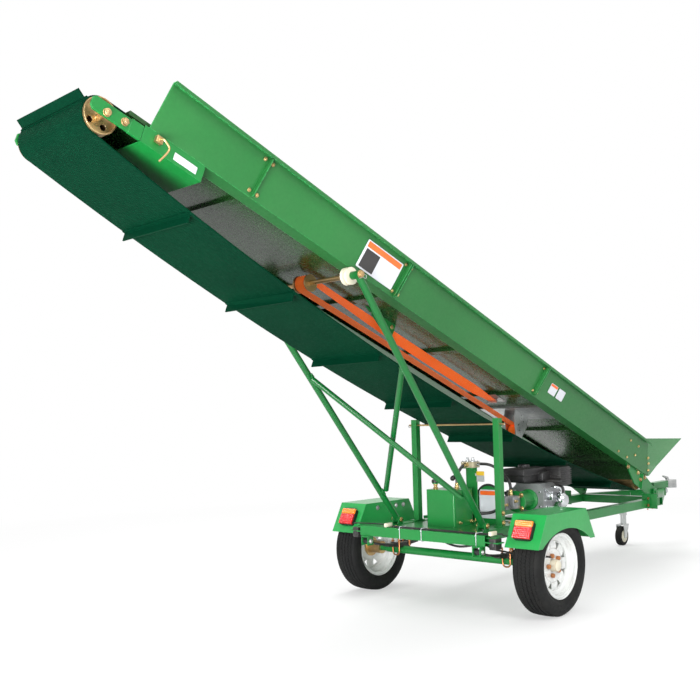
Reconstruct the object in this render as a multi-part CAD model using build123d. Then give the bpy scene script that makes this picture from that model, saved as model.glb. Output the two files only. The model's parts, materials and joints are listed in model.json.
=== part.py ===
"""A towed firewood conveyor: a belt trough on a two-wheeled chassis, raised by a strap winch.

Axes: +X towards the tow coupler, +Y to the left, +Z up, millimetres. Chassis sizes count from
the axle, and the finished part is shifted so that its origin is the middle of its box, on the
ground. The trough is drawn lying flat, with its hinge pin at the origin, s mm up the trough from
the pin and n mm above it, and is then turned to its raised angle.
"""
from build123d import *
import math
import os

# Driving dimensions
ORIGIN_AHEAD = 298.3            # part origin, ahead of the axle
FIT_GAP = 0.3                   # gap where a moving piece runs on another

TYRE_RADIUS = 280.0
TYRE_WIDTH = 174.0
RIM_RADIUS = 165.0
RIM_FLANGE_RADIUS = 183.0
RIM_WINDOWS = 6
HALF_TRACK = 663.0              # middle of a tyre
HUB_RADIUS = 62.0
SPINDLE_RADIUS = 20.0
AXLE_RADIUS = 25.0

RAIL_HALF_SPACING = 320.0
RAIL_WIDTH = 60.0
RAIL_HEIGHT = 60.0
FRAME_TOP = 465.0
REAR_BAR_X = -305.0
FRONT_BAR_X = 330.0
BAR_HALF_LENGTH = 460.0
TUBE_WALL = 4.0

HINGE_X = 2200.0
HINGE_Z = 502.0
HINGE_PIN_RADIUS = 12.0
HINGE_SIDE_GAP = 5.0
TROUGH_ANGLE = 20.8

NOSE_X = 2950.0
NOSE_HALF_SPACING = 32.0
NOSE_TUBE_HEIGHT = 55.0
COUPLER_END_X = 3265.0
BALL_RADIUS = 25.4
DOCUMENT_TUBE_RADIUS = 29.0
DOCUMENT_TUBE_LENGTH = 112.0

SHEET = 3.0
FLOOR_HALF_WIDTH = 311.0        # lower bend of a side panel
TOP_HALF_WIDTH = 385.0          # upper bend of a side panel
TOP_FLANGE = 23.0
BOTTOM_FLANGE = 76.0
SIDE_LOW_N = 76.0
SIDE_HIGH_N = 267.0
SIDE_START_LOW_S = 165.0
SIDE_START_HIGH_S = 385.0
SIDE_END_S = 4930.0
LIP_SEAT = 21.0                 # lip flange that lies on the side panels
LIP_BEND = (99.0, 180.0)        # s and n of the lip's bend
LIP_TIP = (-139.0, 479.0)
EAR_THICKNESS = 10.0

HEAD_DRUM_S = 5118.0
TAIL_DRUM_S = 250.0
DRUM_RADIUS = 75.0
DRUM_N = 23.0
DRUM_SHAFT_RADIUS = 15.0
DRUM_WALL = 5.0
TAIL_GUARD_N = -7.0             # lower edge of the sheet before the tail drum
BELT_THICKNESS = 6.0
BELT_SAG = 160.0                # of the slack lower run
BELT_LIFT = 0.5                 # belt above the bed
CLEAT_HEIGHT = 45.0
CLEAT_FOOT = 34.0
CLEAT_PITCH = 667.0
CLEATS_PER_RUN = 7
FIRST_CARRY_CLEAT_S = 4870.0
FIRST_RETURN_CLEAT_S = 4595.0
HEAD_CLEAT_TURN = -66.0

LEG_PIVOT_X = -143.0
LEG_PIVOT_Z = 492.0
LEG_TOP_S = 3669.0
LEG_TOP_N = 32.0
LEG_RADIUS = 19.0
LEG_FOOT_Y = 320.0
LEG_HEAD_Y = 372.0
LEG_PIN_RADIUS = 8.0
BRACE_RADIUS = 16.0
BRACE_LOW = 235.0               # along the leg from its foot
BRACE_HIGH = 1130.0
ROLLER_SHAFT_RADIUS = 12.5
TRACK_Y = 311.0                 # line on which the leg rollers run
SHEAVE_RADIUS = 40.0
SHEAVE_HALF_WIDTH = 44.0

STRAP_WIDTH = 60.0
STRAP_THICKNESS = 2.5
STRAP_HOOK_S = 1868.0
STRAP_HOOK_N = 57.0
WINCH_S = 1560.0
WINCH_N = -36.0
WINCH_BUNDLE_RADIUS = 30.0
WINCH_SHAFT_RADIUS = 10.0
STOP_PLATE_Y = 50.0

POST_X = 55.0
POST_Y = 310.0
POST_SIZE = 40.0
POST_TOP = 1109.0
ROD_Z = 1074.0
ROD_RADIUS = 6.0

FENDER_INNER_Y = 547.0
FENDER_OUTER_Y = 760.0
FENDER_TOP_Z = 579.0
FENDER_LOW_Z = 403.0
FENDER_REAR_X = (-275.0, -178.0)
FENDER_FRONT_X = (257.0, 352.0)

TANK_X = (-102.0, 90.0)
TANK_Y = (-92.0, 119.0)
TANK_TOP = 682.0
VALVE_X = (98.0, 172.0)
VALVE_Y = (-100.0, 0.0)
VALVE_Z = (806.0, 842.0)
GUARD_X = 178.0
GUARD_Y = (-236.0, -60.0)
GUARD_TOP = 698.0
PUMP_Y = -265.0
PUMP_Z = 590.0
PUMP_X = 196.0
BELL_X = 300.0
HOSE_RADIUS = 9.0

ENGINE_X = 452.0                # face of the crankcase that the pump bell meets
ENGINE_LENGTH = 250.0
ENGINE_Y = (-370.0, -150.0)
ENGINE_Z = (515.0, 690.0)
FIN_COUNT = 7
ENGINE_BED_X = (430.0, 800.0)

JACK_X = 2700.0
JACK_Y = 205.0
JACK_TUBE_RADIUS = 29.0
JACK_LEG_RADIUS = 24.0
JACK_WHEEL_RADIUS = 80.0
JACK_TRAIL = 40.0

# Sizes that follow from those above
AXLE_Z = TYRE_RADIUS
FRAME_LOW = FRAME_TOP - RAIL_HEIGHT
BAR_HALF = RAIL_WIDTH / 2
RAIL_OUT = RAIL_HALF_SPACING + BAR_HALF
RAIL_IN = RAIL_HALF_SPACING - BAR_HALF
BED_HALF_WIDTH = FLOOR_HALF_WIDTH - 11
LIP_SEAT_HALF_WIDTH = FLOOR_HALF_WIDTH - 2.5
DRUM_HALF_WIDTH = FLOOR_HALF_WIDTH - 45
BELT_HALF_WIDTH = DRUM_HALF_WIDTH - 12
EAR_OUT = FLOOR_HALF_WIDTH - 17
EAR_IN = EAR_OUT - EAR_THICKNESS
BELT_OUTER = DRUM_RADIUS + BELT_THICKNESS
BED_TOP_N = DRUM_N + DRUM_RADIUS - BELT_LIFT
BED_UNDER_N = BED_TOP_N - SHEET
BED_START_S = TAIL_DRUM_S + DRUM_RADIUS + 17
BED_END_S = HEAD_DRUM_S - DRUM_RADIUS - 17
CARRY_CLEATS = [FIRST_CARRY_CLEAT_S - CLEAT_PITCH * k for k in range(CLEATS_PER_RUN)]
RETURN_CLEATS = [FIRST_RETURN_CLEAT_S - CLEAT_PITCH * k for k in range(CLEATS_PER_RUN)]

# Where ribs stand on a side panel: s, and how many stand together
RIBS = [(1889.0, 2), (3332.0, 2), (4367.0, 1)]
# Where cross members lie under the bed: s
CROSS_MEMBERS = [520.0, 1200.0, 1889.0, 2610.0, 3332.0, 4367.0]


# Helpers
def block(x0, x1, y0, y1, z0, z1):
    """A box between two corners."""
    box = Box(x1 - x0, y1 - y0, z1 - z0, align=(Align.MIN, Align.MIN, Align.MIN))
    return Pos(x0, y0, z0) * box


def plate_xz(points, y_low, thick):
    """A flat plate whose outline is given as (x, z) points."""
    wire = Polyline(*[(x, 0, z) for x, z in points], close=True)
    return Pos(0, y_low, 0) * extrude(make_face(wire), thick, dir=(0, 1, 0))


def profile_yz(points, x_low, length):
    """A prism along X whose section is given as (y, z) points."""
    wire = Polyline(*[(0, y, z) for y, z in points], close=True)
    return Pos(x_low, 0, 0) * extrude(make_face(wire), length, dir=(1, 0, 0))


def sheet_outline(points, thick):
    """The closed outline of a bent sheet that lies left of the line of points."""
    count = len(points)
    turns = []
    for i in range(count - 1):
        dy = points[i + 1][0] - points[i][0]
        dz = points[i + 1][1] - points[i][1]
        length = math.hypot(dy, dz)
        turns.append((-dz / length, dy / length))
    inner = []
    for i in range(count):
        before = turns[max(i - 1, 0)]
        after = turns[min(i, count - 2)]
        spread = 1 + before[0] * after[0] + before[1] * after[1]
        inner.append((points[i][0] + thick * (before[0] + after[0]) / spread,
                      points[i][1] + thick * (before[1] + after[1]) / spread))
    return list(points) + inner[::-1]


def rod(start, end, radius):
    """A round bar between two points."""
    line = Vector(*end) - Vector(*start)
    plane = Plane(origin=start, z_dir=line.normalized())
    return extrude(plane * Circle(radius), line.length)


def pipe(start, end, radius, wall):
    """A round tube between two points."""
    return rod(start, end, radius) - rod(start, end, radius - wall)


def square_tube(x0, x1, y0, y1, z0, z1, along, wall=TUBE_WALL):
    """A rectangular tube that is open at the two ends of the named axis."""
    inset = {"x": (0, wall, wall), "y": (wall, 0, wall), "z": (wall, wall, 0)}[along]
    outer = block(x0, x1, y0, y1, z0, z1)
    return outer - block(x0 + inset[0], x1 - inset[0], y0 + inset[1], y1 - inset[1],
                         z0 + inset[2], z1 - inset[2])


def disc_y(x, z, radius, y0, y1):
    """A round disc or bar along Y."""
    return rod((x, y0, z), (x, y1, z), radius)


def mirrored(solid):
    """The same solid on the other side of the machine."""
    return mirror(solid, about=Plane.XZ)


NODES = {}


def add(name, *solids):
    """Store the solids of one node."""
    NODES[name] = list(solids)


def add_pair(name, left_solid):
    """Store a left and a right node."""
    add(name + "_left", left_solid)
    add(name + "_right", mirrored(left_solid))


TROUGH_PLACE = Pos(HINGE_X, 0, HINGE_Z) * Rot(0, TROUGH_ANGLE, 0)


def raised(solid):
    """Turn a piece of the flat trough to its raised place."""
    return TROUGH_PLACE * solid


def trough_point(s, y, n):
    """The place of a trough point in the chassis frame."""
    angle = math.radians(TROUGH_ANGLE)
    return (HINGE_X - s * math.cos(angle) + n * math.sin(angle), y,
            HINGE_Z + s * math.sin(angle) + n * math.cos(angle))


# Chassis frame
def cross_bar(x, half_length):
    """A cross tube of the frame, level with the rails."""
    return square_tube(x - BAR_HALF, x + BAR_HALF, -half_length, half_length,
                       FRAME_LOW, FRAME_TOP, "y")


def build_frame():
    """Rails and cross bars."""
    tab_z = (FRAME_LOW + 20, FRAME_LOW + 26)
    tab = block(REAR_BAR_X - BAR_HALF, REAR_BAR_X + BAR_HALF, BAR_HALF_LENGTH, FENDER_INNER_Y, *tab_z)
    add("rear_crossbar", cross_bar(REAR_BAR_X, BAR_HALF_LENGTH) + tab + mirrored(tab))
    rail = square_tube(REAR_BAR_X + BAR_HALF, HINGE_X - BAR_HALF, RAIL_IN, RAIL_OUT,
                       FRAME_LOW, FRAME_TOP, "x")
    add("frame_rails", rail, mirrored(rail))
    inner = cross_bar(FRONT_BAR_X, RAIL_IN)
    stub = square_tube(FRONT_BAR_X - BAR_HALF, FRONT_BAR_X + BAR_HALF, RAIL_OUT,
                       BAR_HALF_LENGTH, FRAME_LOW, FRAME_TOP, "y")
    front_tab = block(FRONT_BAR_X - BAR_HALF, FRONT_BAR_X + BAR_HALF, BAR_HALF_LENGTH,
                      FENDER_INNER_Y, *tab_z)
    outrigger = stub + front_tab
    add("front_crossbar", inner, outrigger, mirrored(outrigger))


def build_hinge_bar():
    """The cross bar at the trough's foot, with its hinge plates and pins."""
    bar = cross_bar(HINGE_X, RAIL_OUT)
    plate_in = EAR_OUT + HINGE_SIDE_GAP
    plate = plate_xz([(HINGE_X - 40, FRAME_TOP), (HINGE_X + 40, FRAME_TOP),
                      (HINGE_X + 26, HINGE_Z + 26), (HINGE_X - 26, HINGE_Z + 26)], plate_in, 12)
    pin = disc_y(HINGE_X, HINGE_Z, HINGE_PIN_RADIUS, EAR_IN - 14, plate_in + 18)
    side = plate + pin
    add("hinge_crossbar", bar + side + mirrored(side))


def build_drawbar():
    """Two arms that meet at the nose, the nose tube and the coupler."""
    start_x = HINGE_X + BAR_HALF
    arm_outline = [(start_x, RAIL_OUT - 4), (start_x, RAIL_OUT - 64),
                   (NOSE_X, NOSE_HALF_SPACING - 30), (NOSE_X, NOSE_HALF_SPACING + 22)]
    wire = Polyline(*[(x, y, FRAME_LOW) for x, y in arm_outline], close=True)
    arm = extrude(make_face(wire), RAIL_HEIGHT, dir=(0, 0, 1))
    inside = arm & Pos(0, -2 * TUBE_WALL, 0) * arm & Pos(0, 2 * TUBE_WALL, 0) * arm & \
        Pos(0, 0, TUBE_WALL) * arm & Pos(0, 0, -TUBE_WALL) * arm
    add("drawbar_arms", arm - inside, mirrored(arm - inside))
    nose_top = FRAME_TOP + NOSE_TUBE_HEIGHT
    nose = square_tube(NOSE_X - 150, NOSE_X + 130, -30, 30, FRAME_TOP, nose_top, "x")
    cap = block(NOSE_X, NOSE_X + 12, -60, 60, FRAME_LOW, FRAME_TOP)
    add("nose_tube", nose + cap)
    tube_z = FRAME_TOP - DOCUMENT_TUBE_RADIUS
    start = NOSE_X + 12
    document_tube = rod((start, 0, tube_z), (start + DOCUMENT_TUBE_LENGTH, 0, tube_z),
                        DOCUMENT_TUBE_RADIUS)
    cap_ring = rod((start + 14, 0, tube_z - 2), (start + 34, 0, tube_z - 2), DOCUMENT_TUBE_RADIUS + 2)
    add("document_tube", document_tube + cap_ring)
    ball_x = COUPLER_END_X - 45
    level = (Align.CENTER, Align.CENTER, Align.MIN)
    body = block(NOSE_X + 130, COUPLER_END_X - 90, -34, 34, FRAME_TOP - 4, nose_top)
    head = Pos(ball_x, 0, FRAME_TOP - 14) * Cylinder(42, 70, align=level)
    neck = block(COUPLER_END_X - 90, ball_x, -36, 36, FRAME_TOP - 4, nose_top - 5)
    socket = Pos(ball_x, 0, FRAME_TOP - 14) * Cylinder(BALL_RADIUS, 40, align=level)
    latch = plate_xz([(NOSE_X + 150, nose_top), (NOSE_X + 215, nose_top),
                      (NOSE_X + 190, nose_top + 29), (NOSE_X + 110, nose_top + 45),
                      (NOSE_X + 108, nose_top + 35), (NOSE_X + 165, nose_top + 17)], -9, 18)
    add("tow_coupler", body + neck + head + latch - socket)


# Running gear
def build_axle():
    """Axle tube with its spindles, leaf springs and their hangers."""
    tube_half = HALF_TRACK - 143
    spindle = disc_y(0, AXLE_Z, SPINDLE_RADIUS, tube_half, HALF_TRACK - 20)
    add("axle_beam", disc_y(0, AXLE_Z, AXLE_RADIUS, -tube_half, tube_half) + spindle + mirrored(spindle))
    spring_y = 412.0
    spring_half = 21.0
    leaf = 7.0
    eye_z = FRAME_LOW - 34
    eye_x = FRONT_BAR_X - 4
    seat_z = AXLE_Z + AXLE_RADIUS
    spring = None
    for drop, half in ((0, FRONT_BAR_X), (1, 235.0), (2, 150.0)):
        rise = (eye_z - seat_z - 21) * (half / FRONT_BAR_X) ** 2
        low = seat_z + (2 - drop) * leaf
        top_arc = ThreePointArc((-half, 0, low + leaf + rise), (0, 0, low + leaf),
                                (half, 0, low + leaf + rise))
        low_arc = ThreePointArc((half, 0, low + rise), (0, 0, low), (-half, 0, low + rise))
        edges = [top_arc, Line(top_arc @ 1, low_arc @ 0), low_arc, Line(low_arc @ 1, top_arc @ 0)]
        strip = extrude(make_face(edges), 2 * spring_half, dir=(0, 1, 0))
        strip = Pos(0, spring_y - spring_half, 0) * strip
        spring = strip if spring is None else spring + strip
    for x in (-eye_x, eye_x):
        spring += disc_y(x, eye_z, 16, spring_y - spring_half, spring_y + spring_half)
        spring -= disc_y(x, eye_z, LEG_PIN_RADIUS, spring_y - 100, spring_y + 100)
    pad = block(-45, 45, spring_y - 26, spring_y + 26, AXLE_Z + 18, seat_z + leaf)
    spring += pad - disc_y(0, AXLE_Z, AXLE_RADIUS, spring_y - 40, spring_y + 40)
    clip = block(-70, -60, spring_y - 26, spring_y + 26, seat_z - 2, seat_z + 4 * leaf)
    spring += clip + Pos(130, 0, 0) * clip
    add("leaf_springs", spring, mirrored(spring))
    inner, outer = spring_y - spring_half - 6, spring_y + spring_half + 6
    hangers = []
    for x in (-eye_x, eye_x):
        sides = [block(x - 26, x + 26, y, y + 5, eye_z - 24, FRAME_LOW) for y in (inner, outer - 5)]
        pin = disc_y(x, eye_z, LEG_PIN_RADIUS, inner, outer)
        bridge = block(x - 26, x + 26, inner, outer, FRAME_LOW - 6, FRAME_LOW)
        hanger = sides[0] + sides[1] + pin + bridge
        hangers += [hanger, mirrored(hanger)]
    add("spring_hangers", *hangers)


def wheel_profile(points):
    """A solid of revolution about the axle from (y, r) points."""
    wire = Polyline(*[(0, y, AXLE_Z + r) for y, r in points], close=True)
    return revolve(make_face(wire), Axis((0, 0, AXLE_Z), (0, 1, 0)), 360)


def build_wheels():
    """Tyres, spoke rims and hubs."""
    half = TYRE_WIDTH / 2
    mid = HALF_TRACK
    bead = 62.0
    seat = RIM_RADIUS
    flange = RIM_FLANGE_RADIUS
    shoulder = TYRE_RADIUS - 3
    # Each line: distance from the tyre's middle, radius
    tyre_half = [(half - 34, shoulder), (half - 16, TYRE_RADIUS - 12), (half - 3, TYRE_RADIUS - 30),
                 (half, TYRE_RADIUS - 52), (half - 4, flange + 23), (bead, flange + 1), (bead, seat)]
    outline = [(mid, TYRE_RADIUS)] + [(mid + y, r) for y, r in tyre_half] + \
        [(mid - y, r) for y, r in reversed(tyre_half)]
    add_pair("tyre", wheel_profile(outline))
    well = seat - 23
    rim = wheel_profile([
        (mid - bead - 9, flange), (mid - bead, flange - 2), (mid - bead, seat), (mid - 22, seat),
        (mid - 14, well), (mid + 22, well), (mid + 30, seat), (mid + bead, seat),
        (mid + bead, flange - 2), (mid + bead + 9, flange), (mid + bead + 9, flange - 4),
        (mid + bead - 4, flange - 8), (mid + bead - 4, seat - 4), (mid + 33, seat - 4),
        (mid + 25, well - 4), (mid - 17, well - 4), (mid - 25, seat - 4), (mid - bead + 4, seat - 4),
        (mid - bead + 4, flange - 8), (mid - bead - 9, flange - 4)])
    disc = wheel_profile([(mid + 16, 34), (mid + 16, 78), (mid + 30, 96), (mid + 22, well - 4),
                          (mid + 16, well - 4), (mid + 24, 96), (mid + 11, 80), (mid + 11, 34)])
    for k in range(RIM_WINDOWS):
        window = plate_xz([(-21, AXLE_Z + well - 13), (21, AXLE_Z + well - 13), (0, AXLE_Z + well - 50)],
                          mid - 10, 60)
        disc -= window.rotate(Axis((0, 0, AXLE_Z), (0, 1, 0)), 360 / RIM_WINDOWS * (k + 0.5))
    add_pair("rim", rim + disc)
    hub = disc_y(0, AXLE_Z, HUB_RADIUS, mid + 2, mid + 11) + disc_y(0, AXLE_Z, 40, mid - 90, mid + 2)
    hub += disc_y(0, AXLE_Z, 32, mid + 11, mid + 52)
    hub -= disc_y(0, AXLE_Z, AXLE_RADIUS + 1, mid - 91, mid - 141 + 1)
    hub -= disc_y(0, AXLE_Z, SPINDLE_RADIUS + FIT_GAP, mid - 163, mid - 20 + FIT_GAP)
    add_pair("hub", hub)


def build_fenders():
    """Folded fenders with their tail lights."""
    rear_low, rear_top = FENDER_REAR_X
    front_top, front_low = FENDER_FRONT_X
    line = [(rear_low, FENDER_LOW_Z), (rear_top, FENDER_TOP_Z), (front_top, FENDER_TOP_Z),
            (front_low, FENDER_LOW_Z)]
    skin = plate_xz(sheet_outline(line, -SHEET), FENDER_INNER_Y, FENDER_OUTER_Y - FENDER_INNER_Y)
    inner_wall = plate_xz(line, FENDER_INNER_Y, SHEET)
    outer_wall = plate_xz(line, FENDER_OUTER_Y - SHEET, SHEET)
    arch_rear, arch_front = rear_low + 43, front_low - 52
    arch_top = FENDER_TOP_Z - 92
    arch_line = ThreePointArc((arch_rear, 0, FENDER_LOW_Z), (38, 0, arch_top),
                              (arch_front, 0, FENDER_LOW_Z))
    below = FENDER_LOW_Z - 20
    closing = [Line((arch_front, 0, FENDER_LOW_Z), (arch_front, 0, below)),
               Line((arch_front, 0, below), (arch_rear, 0, below)),
               Line((arch_rear, 0, below), (arch_rear, 0, FENDER_LOW_Z))]
    arch = extrude(make_face([arch_line] + closing), 20, dir=(0, 1, 0))
    outer_wall -= Pos(0, FENDER_OUTER_Y - 10, 0) * arch
    add_pair("fender", skin + inner_wall + outer_wall)
    lean = math.degrees(math.atan2(rear_top - rear_low, FENDER_TOP_Z - FENDER_LOW_Z))
    middle = Pos((rear_low + rear_top) / 2, FENDER_INNER_Y + 101, (FENDER_LOW_Z + FENDER_TOP_Z) / 2)
    bezel = middle * Rot(0, lean, 0) * Pos(-13, 0, 0) * Box(26, 120, 112)
    lens = middle * Rot(0, lean, 0) * Pos(-31, 0, 0) * Box(10, 108, 100)
    lamp = bezel + lens
    add("tail_lights", lamp, mirrored(lamp))


# Trough
def build_trough_sides():
    """Flared side panels, the bed, ribs and cross members."""
    section = sheet_outline(
        [(FLOOR_HALF_WIDTH - BOTTOM_FLANGE, SIDE_LOW_N), (FLOOR_HALF_WIDTH, SIDE_LOW_N),
         (TOP_HALF_WIDTH, SIDE_HIGH_N), (TOP_HALF_WIDTH + TOP_FLANGE, SIDE_HIGH_N),
         (TOP_HALF_WIDTH + TOP_FLANGE, SIDE_HIGH_N - 14)], SHEET)
    length = SIDE_END_S - SIDE_START_LOW_S
    side = profile_yz(section, -SIDE_END_S, length)
    slant = plate_xz([(-SIDE_START_LOW_S, SIDE_LOW_N - 1), (1, SIDE_LOW_N - 1),
                      (1, SIDE_HIGH_N + 20), (-SIDE_START_HIGH_S - 20, SIDE_HIGH_N + 20)],
                     0, 2 * TOP_HALF_WIDTH)
    side -= slant
    side -= block(-BED_START_S, 0, 0, BED_HALF_WIDTH, SIDE_LOW_N - 1, SIDE_LOW_N + SHEET + 1)
    add_pair("side_panel", raised(side))
    bed = profile_yz(sheet_outline(
        [(-BED_HALF_WIDTH, SIDE_LOW_N + SHEET), (-BED_HALF_WIDTH, BED_TOP_N),
         (BED_HALF_WIDTH, BED_TOP_N), (BED_HALF_WIDTH, SIDE_LOW_N + SHEET)], -SHEET),
        -BED_END_S, BED_END_S - BED_START_S)
    add("bed_pan", raised(bed))
    flare = (TOP_HALF_WIDTH - FLOOR_HALF_WIDTH) / (SIDE_HIGH_N - SIDE_LOW_N)
    ribs = []
    for s, count in RIBS:
        for k in range(count):
            x = -s + (k - (count - 1) / 2) * 14
            low_y = FLOOR_HALF_WIDTH + 4 * flare
            high_y = low_y + (SIDE_HIGH_N - SIDE_LOW_N - 8) * flare
            rib = profile_yz([(low_y, SIDE_LOW_N + 4), (high_y, SIDE_HIGH_N - 4),
                              (TOP_HALF_WIDTH + TOP_FLANGE, SIDE_HIGH_N - 14),
                              (low_y + 22, SIDE_LOW_N + 4)],
                             x - 2.5, 5)
            ribs += [raised(rib), raised(mirrored(rib))]
    add("side_ribs", *ribs)
    beams = []
    for s in CROSS_MEMBERS:
        beam = square_tube(-s - 20, -s + 20, -(BED_HALF_WIDTH - SHEET), BED_HALF_WIDTH - SHEET,
                           SIDE_LOW_N + SHEET, BED_UNDER_N, "y", 2.0)
        beams.append(raised(beam))
    guard_x = (-BED_START_S - 3 - SHEET, -BED_START_S - 3)
    guard = block(*guard_x, -EAR_IN, EAR_IN, TAIL_GUARD_N, SIDE_LOW_N)
    inner_y = FLOOR_HALF_WIDTH - BOTTOM_FLANGE
    guard += block(*guard_x, -inner_y, inner_y, SIDE_LOW_N, BED_UNDER_N)
    beams.append(raised(guard))
    add("cross_members", *beams)


def build_trough_ends():
    """Loading lip, hinge ears, take-up box, bearing arms and drums."""
    lip_line = [(-SIDE_START_LOW_S, SIDE_LOW_N + SHEET), (-LIP_BEND[0], LIP_BEND[1]),
                (-LIP_TIP[0], LIP_TIP[1])]
    lip_half = TOP_HALF_WIDTH + 17
    lip = plate_xz(sheet_outline(lip_line, SHEET), -lip_half, 2 * lip_half)
    beyond = lip_half + 80
    trim = profile_yz([(FLOOR_HALF_WIDTH + 4, SIDE_LOW_N - 16), (lip_half + 1, LIP_TIP[1] + 10),
                       (beyond, LIP_TIP[1] + 10), (beyond, SIDE_LOW_N - 16)], -200, 500)
    lip = lip - trim - mirrored(trim)
    lip += block(-SIDE_START_LOW_S - LIP_SEAT, -SIDE_START_LOW_S, -LIP_SEAT_HALF_WIDTH,
                 LIP_SEAT_HALF_WIDTH, SIDE_LOW_N + SHEET, SIDE_LOW_N + 2 * SHEET)
    add("loading_lip", raised(lip))
    ear = plate_xz([(-500, SIDE_LOW_N), (-SIDE_START_LOW_S - 5, SIDE_LOW_N), (26, 34),
                    (30, -24), (-60, -52), (-330, -30), (-430, 26)], EAR_IN, EAR_THICKNESS)
    ear += disc_y(0, 0, 30, EAR_IN, EAR_OUT)
    bolt_flange = block(-235, -225, EAR_OUT, EAR_OUT + 14, -44, SIDE_LOW_N - 2)
    ear += bolt_flange
    ear -= disc_y(0, 0, HINGE_PIN_RADIUS + FIT_GAP, EAR_IN - 1, EAR_OUT + 1)
    ear -= disc_y(-TAIL_DRUM_S, DRUM_N, DRUM_SHAFT_RADIUS, EAR_IN - 1, EAR_OUT + 20)
    add("hinge_ears", raised(ear), raised(mirrored(ear)))
    box_start = SIDE_END_S + 20
    box = profile_yz(sheet_outline(
        [(FLOOR_HALF_WIDTH, SIDE_LOW_N), (FLOOR_HALF_WIDTH, 0.0), (-FLOOR_HALF_WIDTH, 0.0),
         (-FLOOR_HALF_WIDTH, SIDE_LOW_N)], -4), -box_start, 320)
    add("take_up_box", raised(box))
    arm_out = FLOOR_HALF_WIDTH - 4
    arm = block(-HEAD_DRUM_S - 72, -HEAD_DRUM_S + 270, arm_out - 10, arm_out, 4, DRUM_N + 39)
    arm -= disc_y(-HEAD_DRUM_S, DRUM_N, DRUM_SHAFT_RADIUS, arm_out - 20, arm_out + 20)
    bearing = disc_y(-HEAD_DRUM_S, DRUM_N, 34, arm_out, arm_out + 22)
    bearing -= disc_y(-HEAD_DRUM_S, DRUM_N, DRUM_SHAFT_RADIUS, arm_out - 1, arm_out + 30)
    add("bearing_arms", raised(arm + bearing), raised(mirrored(arm + bearing)))
    for name, s, reach in (("head_drum", HEAD_DRUM_S, arm_out + 12), ("tail_drum", TAIL_DRUM_S, EAR_OUT)):
        drum = disc_y(-s, DRUM_N, DRUM_RADIUS, -DRUM_HALF_WIDTH, DRUM_HALF_WIDTH)
        drum -= disc_y(-s, DRUM_N, DRUM_RADIUS - DRUM_WALL, -DRUM_HALF_WIDTH, DRUM_HALF_WIDTH)
        drum += disc_y(-s, DRUM_N, DRUM_SHAFT_RADIUS, -reach, reach)
        for y in (-DRUM_HALF_WIDTH + 18, DRUM_HALF_WIDTH - 24):
            drum += disc_y(-s, DRUM_N, DRUM_RADIUS - 4, y, y + 6)
        for k in range(4):
            turn = math.radians(90 * k + 45)
            drum -= disc_y(-s + 45 * math.cos(turn), DRUM_N + 45 * math.sin(turn), 13,
                           -DRUM_HALF_WIDTH - 1, DRUM_HALF_WIDTH + 1)
        add(name, raised(drum))


def sag_arc(offset):
    """The return run as an arc through both drums' undersides, offset below them."""
    low = DRUM_N - DRUM_RADIUS - offset
    middle = -(HEAD_DRUM_S + TAIL_DRUM_S) / 2
    return ThreePointArc((-HEAD_DRUM_S, 0, low), (middle, 0, low - BELT_SAG), (-TAIL_DRUM_S, 0, low))


def sag_point(s):
    """Height and slope of the return run's outer face at s."""
    half = (HEAD_DRUM_S - TAIL_DRUM_S) / 2
    radius = (half * half + BELT_SAG * BELT_SAG) / (2 * BELT_SAG)
    low = DRUM_N - BELT_OUTER
    offset = s - (HEAD_DRUM_S + TAIL_DRUM_S) / 2
    n = low - BELT_SAG + radius - math.sqrt(radius * radius - offset * offset)
    return n, math.degrees(math.asin(offset / radius))


def cleat():
    """One belt cleat: a foot with a slanted wall, standing on z = 0."""
    section = [(-CLEAT_FOOT / 2, 0), (CLEAT_FOOT / 2, 0), (CLEAT_FOOT / 2, 5), (3.5, 8),
               (7, CLEAT_HEIGHT), (0, CLEAT_HEIGHT), (-4.5, 8), (-CLEAT_FOOT / 2, 5)]
    return plate_xz(section, -BELT_HALF_WIDTH + 8, 2 * BELT_HALF_WIDTH - 16)


def build_belt():
    """The belt: its carrying run round both drums, and its slack return run."""
    outer = BELT_OUTER
    top = block(-HEAD_DRUM_S, -TAIL_DRUM_S, -BELT_HALF_WIDTH, BELT_HALF_WIDTH,
                DRUM_N + DRUM_RADIUS, DRUM_N + outer)
    carry = top
    for s, side in ((HEAD_DRUM_S, -1), (TAIL_DRUM_S, 1)):
        ring = disc_y(-s, DRUM_N, outer, -BELT_HALF_WIDTH, BELT_HALF_WIDTH)
        ring -= disc_y(-s, DRUM_N, DRUM_RADIUS, -BELT_HALF_WIDTH, BELT_HALF_WIDTH)
        ring -= block(*sorted((-s, -s - side * 200)), -300, 300, DRUM_N - 200, DRUM_N + 200)
        carry += ring
    for s in CARRY_CLEATS:
        carry += Pos(-s, 0, DRUM_N + outer) * cleat()
    head_cleat = Pos(0, 0, outer - 0.4) * cleat()
    carry += Pos(-HEAD_DRUM_S, 0, DRUM_N) * Rot(0, HEAD_CLEAT_TURN, 0) * head_cleat
    add("belt_carry", raised(carry))
    low_arc = sag_arc(BELT_THICKNESS)
    high_arc = sag_arc(0)
    face = make_face([low_arc, Line(low_arc @ 1, high_arc @ 1), high_arc,
                      Line(high_arc @ 0, low_arc @ 0)])
    run = Pos(0, -BELT_HALF_WIDTH, 0) * extrude(face, 2 * BELT_HALF_WIDTH, dir=(0, 1, 0))
    for s in RETURN_CLEATS:
        n, slope = sag_point(s)
        run += Pos(-s, 0, n + 0.4) * Rot(0, 180 - slope, 0) * cleat()
    add("belt_return", raised(run))


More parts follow.
